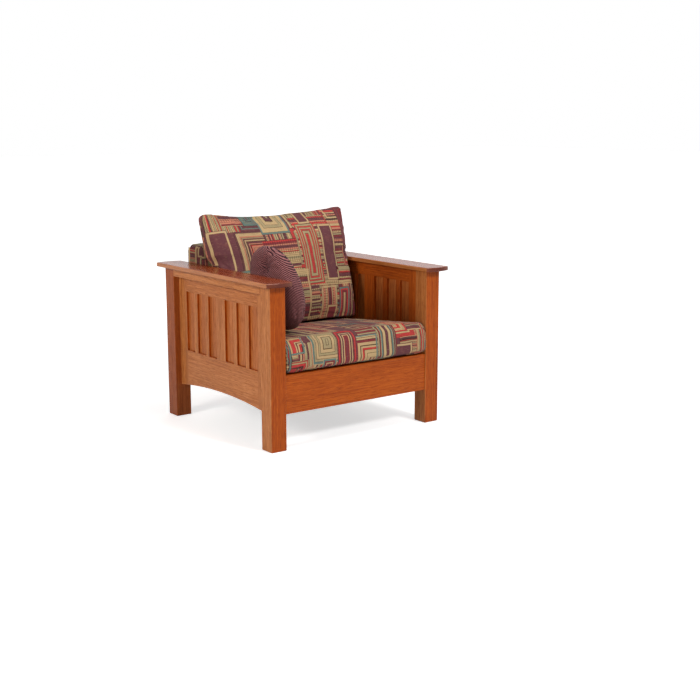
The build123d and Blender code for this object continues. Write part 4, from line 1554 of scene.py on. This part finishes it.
    def trimmings(self) -> list[bpy.types.Object]:
        """Adds the closing seam over the top and down both sides.

        Returns:
            The seam.
        """
        foot, middle, top = self.look_heights
        half, looks = self.look_half_width, self.looks
        sink = self.ridge_radius * self.ridge_sunk_share
        starts, ways = around_box((-half, middle), (half, top), looks)
        flat = np.zeros((len(starts), 1))
        starts = np.concatenate([starts, flat], 1)
        ways = np.concatenate([ways, flat], 1)
        over_count = len(starts) * 5 // 8  # both sides and the top, without the foot
        over = self.seam(starts[:over_count], ways[:over_count], sink, closed=False)
        rise = np.linspace(foot, middle, looks)
        down = np.stack([np.full(looks, half), rise, np.zeros(looks)], 1)
        right = self.seam(down, np.tile([1.0, 0.0, 0.0], (looks, 1)), sink, closed=False)
        down_left = down[::-1] * np.array([-1.0, 1.0, 1.0])
        left = self.seam(down_left, np.tile([-1.0, 0.0, 0.0], (looks, 1)), sink, closed=False)
        whole = Path(
            np.concatenate([right.points, over.points, left.points]),
            np.concatenate([right.out, over.out, left.out]),
        )
        ridge = CordRecipe("seam_ridge", SEAM_TAPESTRY)
        return [self.trim(ridge, "seam", [whole], {"Radius": self.ridge_radius})]


@dataclass
class AccentPillow(SoftPiece):
    """The small round pillow, tufted in one face."""

    node: str = "accent_pillow"
    name: str = "accent_pillow_cover"
    body: str = "accent_pillow"
    slot: str = "plum_chenille"
    finish: Finish = CHENILLE
    stuffing: Stuffing = Stuffing(voxel=0.0046, start_inset=0.006, fill=0.75, most_swell=0.018)
    centre: tuple[float, float, float] = (-0.23677, -0.184, 0.57986)
    facing: tuple[float, float, float] = (-0.954, 0.122, -0.274)
    radius: float = 0.176
    cloth_turn_degrees: float = 60.0  # how far the cloth is turned from the tufted face to the rim
    tuft: tuple[float, float] = (0.034, 0.104)
    tuft_depth: float = 0.030
    tuft_reach: float = 0.030
    tuft_power: float = 1.3  # how sharply the tuft's pit ends
    fold_count: int = 11
    wander_net: tuple[float, float] = (1.4, 6.0)  # how fast the folds bend, round the tuft and outward
    wander: float = 5.0
    pit_fold_depth: float = 0.0045
    fold_depth: float = 0.0028
    fold_reach: float = 0.09
    gather_depth: float = 0.0045  # the gathers at the rim
    gather_reach: float = 0.030
    gather_net: tuple[float, float] = (7.0, 4.0)  # how close the gathers are, round the rim and over it
    dent_depth: float = 0.0028
    dent_net: float = 9.0
    look_radius: float = 0.12  # the rim's seam is cast from a ring of this size inside
    looks: int = 96
    ridge_radius: float = 0.0018
    ridge_sunk_share: float = 1.2

    def basis(self) -> Basis:
        """Returns the pillow's own frame: across, up, and out of its tufted face."""
        out = Vector(self.facing).normalized()
        across = Vector((0.0, 0.0, 1.0)).cross(out).normalized()
        return Basis(Vector(self.centre), across, out.cross(across), out)

    def folds(self, local: np.ndarray, normals: np.ndarray) -> np.ndarray:
        """Works out how the tuft and the gathers at the seam draw the cover in.

        Args:
            local: The points in the piece's own frame.
            normals: The ways out there, in the same frame.

        Returns:
            How far in each point is drawn.
        """
        across = local[:, 0] - self.tuft[0]
        up = local[:, 1] - self.tuft[1]
        reach = np.hypot(across, up)
        angle = np.arctan2(up, across)
        front = normals[:, 2] > 0.0
        about, outward = self.wander_net
        place = np.stack([np.cos(angle) * about, np.sin(angle) * about, reach * outward], 1)
        fold = np.cos(angle * self.fold_count + ripples(place, seed=4.0) * self.wander)
        near = np.exp(-((reach / self.tuft_reach) ** self.tuft_power))
        depth = front * near * (self.tuft_depth + fold * self.pit_fold_depth)
        depth = depth + front * np.exp(-reach / self.fold_reach) * fold * self.fold_depth
        rim = np.hypot(local[:, 0], local[:, 1])
        turn = np.arctan2(local[:, 1], local[:, 0])
        about, over = self.gather_net
        place = np.stack([np.cos(turn) * about, np.sin(turn) * about, local[:, 2] * over], 1)
        gather = ripples(place, seed=6.0)
        edge = np.exp(-(self.radius - rim) / self.gather_reach)
        broad = ripples(local * self.dent_net, seed=17.0)
        depth = depth + edge * np.maximum(gather, -0.2) * self.gather_depth
        return depth + (broad + 0.2) * self.dent_depth

    def cloth_places(self, local: np.ndarray, normals: np.ndarray) -> np.ndarray:
        """Lays the cloth, turned so that the ribs run on over the rim.

        Args:
            local: The points in the piece's own frame.
            normals: The ways out there, in the same frame; not used here.

        Returns:
            Each point's place on the flat cloth.
        """
        turn = math.radians(self.cloth_turn_degrees)
        across = local[:, 0] * math.cos(turn) - local[:, 2] * math.sin(turn)
        return np.stack([across, local[:, 1]], 1)

    def trimmings(self) -> list[bpy.types.Object]:
        """Adds the seam round the rim.

        Returns:
            The seam.
        """
        flat_ways = fan(0.0, 360.0, self.looks + 1)[:-1]
        ways = np.concatenate([flat_ways, np.zeros((self.looks, 1))], 1)
        sink = self.ridge_radius * self.ridge_sunk_share
        rim = self.seam(ways * self.look_radius, ways, sink, closed=True)
        ridge = CordRecipe("pillow_ridge", CHENILLE_SEAM)
        return [self.trim(ridge, "seam", [rim], {"Radius": self.ridge_radius})]


@dataclass
class FixedBack(SoftPiece):
    """The upholstered back that stays on the frame, with its outside panel."""

    node: str = "back_pad"
    name: str = "fixed_back_cover"
    body: str = "chair_frame"
    # painted shade: the cover is the darker copy of the tapestry
    finish: Finish = SHADED_BACK_TAPESTRY
    stuffing: Stuffing = Stuffing(voxel=0.0066, fill=0.9)
    panel: str = "outside_back"
    panel_step: float = 0.02
    panel_crown: float = 0.0026
    pull_depth: float = 0.003
    pull_reach: float = 0.03
    pull_net: tuple[float, float] = (30.0, 8.0)  # gathers per metre, along the edge and away from it
    panel_net: float = 24.0
    edge_width: float = 0.003
    turned_over: float = 0.75  # a face that points this far aside or up counts as side or top
    cloth_cut: tuple[float, float] = (4.72, 0.64)  # where in the weave the cover is cut
    side_cut: float = 0.4
    top_cut: float = 0.9
    panel_cut: tuple[float, float] = (9.3, 0.2)
    hidden_behind: float = -0.325  # how far back the faces behind the loose cushion lie
    cord_radius: float = 0.0022
    cord_inset_share: float = 0.4
    border_inset: float = 0.014
    border_radius: float = 0.012
    looks: int = 12

    def basis(self) -> Basis:
        """Returns the back's own frame: across, up, and out of its front."""
        across, up, out = Vector((1.0, 0.0, 0.0)), Vector((0.0, 0.0, 1.0)), Vector((0.0, -1.0, 0.0))
        return Basis(Vector((0.0, 0.0, 0.0)), across, up, out)

    def swell(self) -> None:
        """Leaves the net as it is: this pad is stapled tight over its frame."""

    def refine(self) -> None:
        """Leaves the net undivided: its form is plain and mostly hidden."""

    def folds(self, local: np.ndarray, normals: np.ndarray) -> np.ndarray:
        """Works out the pull at the edges, on the faces that show.

        Args:
            local: The points in the piece's own frame.
            normals: The ways out there, in the same frame; not used here.

        Returns:
            How far in each point is drawn.
        """
        low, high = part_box(self.node)
        from_side = high.x - np.abs(local[:, 0])
        from_top = high.z - local[:, 1]
        from_edge = np.minimum(from_side, from_top)
        place = np.where(from_side < from_top, local[:, 1], local[:, 0])
        level = np.zeros(len(local))
        along, away = self.pull_net
        pull = ripples(np.stack([place * along, from_edge * away, level], 1), seed=2.0)
        shown = (local[:, 2] > self.hidden_behind) | (from_edge < self.edge_width)
        near = np.exp(-np.maximum(from_edge, 0.0) / self.pull_reach)
        return shown * near * np.maximum(pull, 0.0) * self.pull_depth

    def cloth_places(self, local: np.ndarray, normals: np.ndarray) -> np.ndarray:
        """Lays the cloth round the edges of the back.

        Args:
            local: The points in the piece's own frame.
            normals: The ways out there, in the same frame.

        Returns:
            Each point's place on the flat cloth.
        """
        x, up, out = local.T
        side = np.abs(normals[:, 0]) > self.turned_over
        over = np.abs(normals[:, 1]) > self.turned_over
        u = np.where(side, out + self.side_cut * np.sign(x), x)
        v = np.where(over & ~side, self.top_cut - out, up)
        return np.stack([u + self.cloth_cut[0], v + self.cloth_cut[1]], 1)

    def trimmings(self) -> list[bpy.types.Object]:
        """Adds the outside panel and the cord that frames it.

        Returns:
            The panel and the cord.
        """
        low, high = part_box(self.panel)
        panel = sliced_copy(self.panel, "outside_back_panel", self.panel_step)
        points = points_of(panel.data)
        middle = (low + high) / 2
        share_x = (points[:, 0] - middle.x) / (high.x - middle.x)
        share_z = (points[:, 2] - middle.z) / (high.z - middle.z)
        crown = (1 - np.abs(share_x) ** 5) * (1 - np.abs(share_z) ** 5)
        net = np.array([self.panel_net, 1.0, self.panel_net])
        pull = ripples(points * net, seed=7.0) * (1 - crown) * crown
        rear = points[:, 1] > middle.y
        points[:, 1] += rear * (crown * self.panel_crown + pull * self.pull_depth)
        move_points(panel.data, points)
        places = np.stack([self.panel_cut[0] - points[:, 0], points[:, 2] + self.panel_cut[1]], 1)
        write_cloth_map(panel.data, places[corners_of(panel.data)])
        TAPESTRY.dress(panel)
        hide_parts(self.panel)
        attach(panel, self.body)
        side_inset = self.cord_radius * self.cord_inset_share + self.border_radius
        foot, top = low.z + self.border_inset, high.z - self.border_inset
        starts, ways = around_box((low.x + side_inset, foot), (high.x - side_inset, top), self.looks)
        flat = starts + ways * self.border_radius
        points = np.stack([flat[:, 0], np.full(len(flat), high.y), flat[:, 1]], 1)
        border = Path(points, np.tile([0.0, 1.0, 0.0], (len(points), 1)), closed=True)
        cord = CordRecipe("back_cord", SEAM_TAPESTRY)
        return [panel, self.trim(cord, "welt", [border], {"Radius": self.cord_radius})]


@dataclass
class SeatDeck:
    """The pad and cloth over the springs, and the dust cover below them."""

    step: float = 0.02
    sag: float = 0.0028
    dust_sag: float = 0.006
    skin: float = 0.004  # the cover's points this near its top hang
    pitch_degrees: float = 6.0
    staple_step: float = 0.042
    staple_inset: float = 0.008
    staple_gap: float = 0.0004
    spring_pitch: float = 0.190
    spring_share: float = 0.25  # how much less the deck hangs over a spring
    ripple_share: float = 0.12
    ripple_net: float = 9.0

    def above(self) -> np.ndarray:
        """Returns the direction square to the seat."""
        turn = math.radians(self.pitch_degrees)
        return np.array([0.0, math.sin(turn), math.cos(turn)])

    def along(self) -> np.ndarray:
        """Returns the direction back along the seat."""
        turn = math.radians(self.pitch_degrees)
        return np.array([0.0, math.cos(turn), -math.sin(turn)])

    def dip(self, points: np.ndarray, low: Vector, high: Vector) -> np.ndarray:
        """Works out how much of the sag each point takes, deepest between the springs.

        Args:
            points: The points.
            low: The low corner of the piece's box.
            high: Its high corner.

        Returns:
            The shares of the sag.
        """
        share_x = np.abs(2 * (points[:, 0] - low.x) / (high.x - low.x) - 1)
        share_y = np.abs(2 * (points[:, 1] - low.y) / (high.y - low.y) - 1)
        inner = np.clip(1 - share_x**6, 0, 1) * np.clip(1 - share_y**6, 0, 1)
        over_spring = np.cos(points[:, 0] / self.spring_pitch * math.tau)
        spring = 1 - self.spring_share - self.spring_share * over_spring
        return inner * spring + inner * self.ripple_share * ripples(points * self.ripple_net, seed=4.0)

    def lay(
        self, node: str, name: str, sag: float, hangs: Callable[[np.ndarray], np.ndarray]
    ) -> tuple[bpy.types.Object, np.ndarray]:
        """Makes a layer of the deck that hangs a little between the springs.

        Args:
            node: The CAD node.
            name: The new piece's name.
            sag: How far it hangs at its deepest.
            hangs: Tells from the points' heights which of them hang.

        Returns:
            The layer, and its points before they hang.
        """
        piece = sliced_copy(node, name, self.step)
        points = points_of(piece.data)
        drop = hangs(points @ self.above()) * sag * self.dip(points, *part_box(node))
        move_points(piece.data, points - self.above() * drop[:, None])
        return piece, points

    def build(self) -> list[bpy.types.Object]:
        """Builds the deck's three soft pieces and the staples.

        Returns:
            The four pieces.
        """

        def near_top(height: np.ndarray) -> np.ndarray:
            """Tells which heights are in the cover's top skin."""
            return height > height.max() - self.skin

        def upper_half(height: np.ndarray) -> np.ndarray:
            """Tells which heights are in the upper half."""
            return height > (height.max() + height.min()) / 2

        cover, points = self.lay("deck_cover", "deck_cover_cloth", self.sag, near_top)
        DECK_CLOTH.dress(cover)
        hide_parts("deck_cover")
        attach(cover, "chair_frame")

        pad, _ = self.lay("deck_pad", "deck_pad_felt", self.sag, upper_half)
        FELT.dress(pad)
        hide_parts("deck_pad")
        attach(pad, "chair_frame")

        dust, points = self.lay("dust_cover", "dust_cover_cloth", self.dust_sag, np.ones_like)
        smooth(dust)
        DUST_CLOTH.dress(dust)
        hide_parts("dust_cover")
        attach(dust, "chair_frame")
        return [cover, pad, dust, self.staples(points)]

    def staples(self, points: np.ndarray) -> bpy.types.Object:
        """Adds the staples round the dust cover's underside.

        Args:
            points: The flat cloth's points.

        Returns:
            The staples.
        """
        above, along = self.above(), self.along()
        half = points[:, 0].max() - self.staple_inset
        run = points @ along
        low, high = run.min() + self.staple_inset, run.max() - self.staple_inset
        depth = (points @ above).min() - self.staple_gap
        flat = np.array([(-half, low), (half, low), (half, high), (-half, high)])
        places = [np.array([1.0, 0.0, 0.0]) * x + along * y + above * depth for x, y in flat]
        path = Path(np.array(places), np.tile(-above, (4, 1)), closed=True)
        recipe = StapleRecipe("dust_staples", STEEL)
        staples = recipe.make("dust_cover_staples", [path], {"Step": self.staple_step})
        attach(staples, "chair_frame")
        return staples


@dataclass
class WoodFrame:
    """The oak and hardwood pieces, which keep their CAD shapes."""

    slat_pitch: float = 0.08483
    panel_board: float = 0.109
    stile_split: float = 0.6
    inner_painted_shade: float = 0.9  # painted shade: how much richer and darker the inner faces are made, as they stand in the shade

    def side_finishes(self) -> dict[str, dict[str, WoodFinish]]:
        """Makes the finishes of the side panels' lattices.

        Returns:
            The outer and the inner face's finish of each part.
        """
        outer = {
            "rail": WoodFinish("oak_side_rail", Grain.Y, seed=0.85, fleck=0.7, side_depth=0.10),
            "stiles": WoodFinish("oak_stile", board=self.stile_split, fleck=0.8, side_depth=0.04),
            "slats": WoodFinish("oak_slat", board=self.slat_pitch, fleck=0.4, side_depth=0.08),
            "mullion": WoodFinish("oak_mullion", seed=0.6, side_depth=0.08),
        }
        # The inner faces are darker, richer copies of the outer finishes: painted shade.
        inner = {
            part: replace(wood, name=f"oak_inner_{part.removesuffix('s')}", side_depth=self.inner_painted_shade)
            for part, wood in outer.items()
        }
        return {"outer": outer, "inner": inner}

    def finishes(self) -> dict[str, Finish]:
        """Makes the finish of each kept CAD node.

        Returns:
            The finishes by node.
        """
        rail = WoodFinish("oak_rail", Grain.X, seed=0.55, growth_lines=10.0, fleck=0.7)
        post = WoodFinish("oak_post", seed=0.3, fleck=0.9)
        # The rear posts are tinted richer and darker on every face than the front posts: painted shade.
        rear_post = WoodFinish(
            "oak_rear_post_shaded", seed=0.9, fleck=0.6, front_depth=0.8, side_depth=0.9,
            stain_and_shade_tint=colour(0.62, 0.34, 0.14),
        )
        # The arms' tops and ends are tinted much darker: partly their own stain, partly painted shade.
        arm = WoodFinish(
            "oak_arm", Grain.Y, seed=0.7, streaks=0.6, roughness=0.22, gloss=0.24, lacquer=0.07,
            side_depth=0.08, stain_and_shade_tint=colour(0.49, 0.23, 0.105), relief=0.04, pore_share=0.10,
        )
        cleat = WoodFinish("oak_cleat", Grain.Y, seed=0.2)
        panel = WoodFinish(
            "oak_panel", board=self.panel_board, seed=0.5, growth_lines=9.0, fleck=0.3, side_depth=0.35
        )
        table: dict[str, Finish] = {
            "front_rail": rail,
            "rear_rail": rail,
            "back_webbing": WEBBING,
            "floor_glides": GLIDE_STEEL,
        }
        bare = {
            Grain.X: ("rear_cleat", "deck_front_bar", "deck_rear_bar", "back_top_rail", "back_bottom_rail"),
            Grain.Y: ("deck_left_bar", "deck_right_bar", "left_seat_ledger", "right_seat_ledger"),
            Grain.Z: ("back_left_stile", "back_right_stile"),
        }
        for grain, nodes in bare.items():
            name = f"hardwood_{grain.name.lower()}"
            wood = WoodFinish(
                name, grain, BARE_WOOD, fleck=0.1, roughness=0.62, lacquer=0.0, front_depth=0.0
            )
            table.update(dict.fromkeys(nodes, wood))
        for fitting in ("cleat_screws", "ledger_screws", "back_screws", "seat_springs", "spring_clips"):
            table[fitting] = STEEL
        for side in ("left", "right"):
            table[f"front_{side}_post"] = post
            table[f"rear_{side}_post"] = rear_post
            table[f"{side}_arm"] = arm
            table[f"{side}_arm_cleat"] = cleat
            table[f"{side}_centre_panel"] = panel
            for face, woods in self.side_finishes().items():
                for part in ("stiles", "slats", "mullion"):
                    table[f"{side}_{face}_{part}"] = woods[part]
                for part in ("top_rail", "bottom_rail"):
                    table[f"{side}_{face}_{part}"] = woods["rail"]
        return table

    def build(self) -> list[bpy.types.Object]:
        """Dresses the kept nodes.

        Returns:
            The nodes' objects.
        """
        table = self.finishes()
        for name, finish in table.items():
            finish.dress(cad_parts[name])
        return [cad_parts[name] for name in table]


@dataclass(frozen=True)
class Lamp:
    """One soft studio lamp."""

    name: str
    place: tuple[float, float, float]
    width: float
    power: float
    tint: tuple[float, float, float] = (1.0, 1.0, 1.0)
    mirrored: bool = True  # whether shiny surfaces show it


@dataclass
class StudioSet:
    """The camera, the lamps, the pale floor and the white surroundings."""

    camera_place: tuple[float, float, float] = (-2.761, -3.9594, 1.228)
    yaw: float = 0.6519
    pitch: float = 0.1937
    focal_pixels: float = 1200.45
    picture_pixels: float = 700.0
    middle_pixel: float = 351.9
    sensor: float = 36.0
    aim: tuple[float, float, float] = (0.0, 0.0, 0.42)
    floor_half: float = 30.0
    floor_shade: float = 0.80
    floor_lift: float = 0.58
    floor_near: float = 0.9
    floor_far: float = 3.2
    surround_light: float = 0.10
    lamps: tuple[Lamp, ...] = (
        Lamp("key", place=(-2.8, -0.4, 1.60), width=0.8, power=43.0, tint=(1.0, 0.97, 0.93)),
        Lamp("front", place=(0.5, -3.5, 3.0), width=0.9, power=98.0),
        Lamp("top", place=(0.3, -0.9, 3.3), width=1.6, power=40.0),
        Lamp("fill", place=(-2.9, -3.0, 1.7), width=2.2, power=20.0),
        Lamp("rear", place=(2.4, 3.0, 2.0), width=2.0, power=34.0, mirrored=False),
    )

    def camera(self) -> None:
        """Sets the camera as it stood for the photograph."""
        data = bpy.data.cameras.new("camera")
        data.sensor_width = self.sensor
        data.lens = self.focal_pixels / self.picture_pixels * self.sensor
        data.shift_x = (self.picture_pixels / 2 - self.middle_pixel) / self.picture_pixels
        data.clip_end = 200.0
        camera = placed("camera", data)
        camera.location = self.camera_place
        camera.rotation_euler = (math.pi / 2 - self.pitch, 0.0, -self.yaw)
        bpy.context.scene.camera = camera

    def light(self) -> None:
        """Hangs the lamps, each turned to the chair."""
        for lamp in self.lamps:
            data = bpy.data.lights.new(lamp.name, "AREA")
            data.shape = "DISK"
            data.size = lamp.width
            data.energy = lamp.power
            data.color = lamp.tint
            hung = placed(lamp.name, data)
            hung.location = lamp.place
            hung.visible_glossy = lamp.mirrored
            hung.rotation_mode = "QUATERNION"
            way = Vector(self.aim) - Vector(lamp.place)
            hung.rotation_quaternion = way.to_track_quat("-Z", "Y")

    @staticmethod
    def seen(graph: Graph) -> Signal:
        """Returns 1 for rays from the camera and from glossy or clear surfaces."""
        rays = graph.node("ShaderNodeLightPath", output="Is Camera Ray")
        return rays.most(rays["Is Glossy Ray"]).most(rays["Is Transmission Ray"])

    def surround(self) -> None:
        """Makes the world white where it is seen, and softer as light."""
        world = bpy.data.worlds.new("surround")
        graph = cleared_graph(world)
        strength = self.seen(graph) * (1.0 - self.surround_light) + self.surround_light
        sockets = {"Color": colour(1.0, 1.0, 1.0), "Strength": strength}
        back = graph.node("ShaderNodeBackground", None, sockets)
        graph.node("ShaderNodeOutputWorld", None, {"Surface": back})
        bpy.context.scene.world = world

    def floor(self) -> None:
        """Lays the pale floor, which keeps the chair's shadow."""
        half = self.floor_half
        mesh = bpy.data.meshes.new("studio_floor")
        corners = [(-half, -half, 0.0), (half, -half, 0.0), (half, half, 0.0), (-half, half, 0.0)]
        mesh.from_pydata(corners, [], [(0, 1, 2, 3)])
        piece = placed("studio_floor", mesh)
        material = bpy.data.materials.new("pale_floor")
        graph = cleared_graph(material)
        place = graph.node("ShaderNodeTexCoord", output="Object")
        speck = graph.cloud(place, scale=3.0, detail=2.0) - 0.5
        tone = speck * 0.01 + self.floor_shade
        x, y, _ = graph.split(place)
        far = graph.between(x * x + y * y, self.floor_near**2, self.floor_far**2)
        sockets = {
            "Base Color": graph.joined(tone, tone, tone),
            "Roughness": 0.7,
            "Emission Color": colour(1.0, 1.0, 1.0),
            "Emission Strength": self.seen(graph) * (self.floor_lift + far * (1.0 - self.floor_lift)),
        }
        shader = graph.node("ShaderNodeBsdfPrincipled", None, sockets)
        graph.node("ShaderNodeOutputMaterial", None, {"Surface": shader})
        mesh.materials.append(material)

    def build(self) -> None:
        """Sets up the whole studio."""
        self.camera()
        self.light()
        self.surround()
        self.floor()
        bpy.context.scene.view_settings.view_transform = "Standard"


def main() -> None:
    """Builds the studio and every sub-assembly."""
    logging.basicConfig(level=logging.INFO, format="%(name)s: %(message)s")
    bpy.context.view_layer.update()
    StudioSet().build()
    LOG.info("studio is set")
    for maker in (WoodFrame, SeatDeck, FixedBack, SeatCushion, BackCushion, AccentPillow):
        for piece in maker().build():
            LOG.info("%s: %s, %d faces", maker.__name__, piece.name, len(piece.data.polygons))
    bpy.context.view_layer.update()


if __name__ == "__main__":
    main()
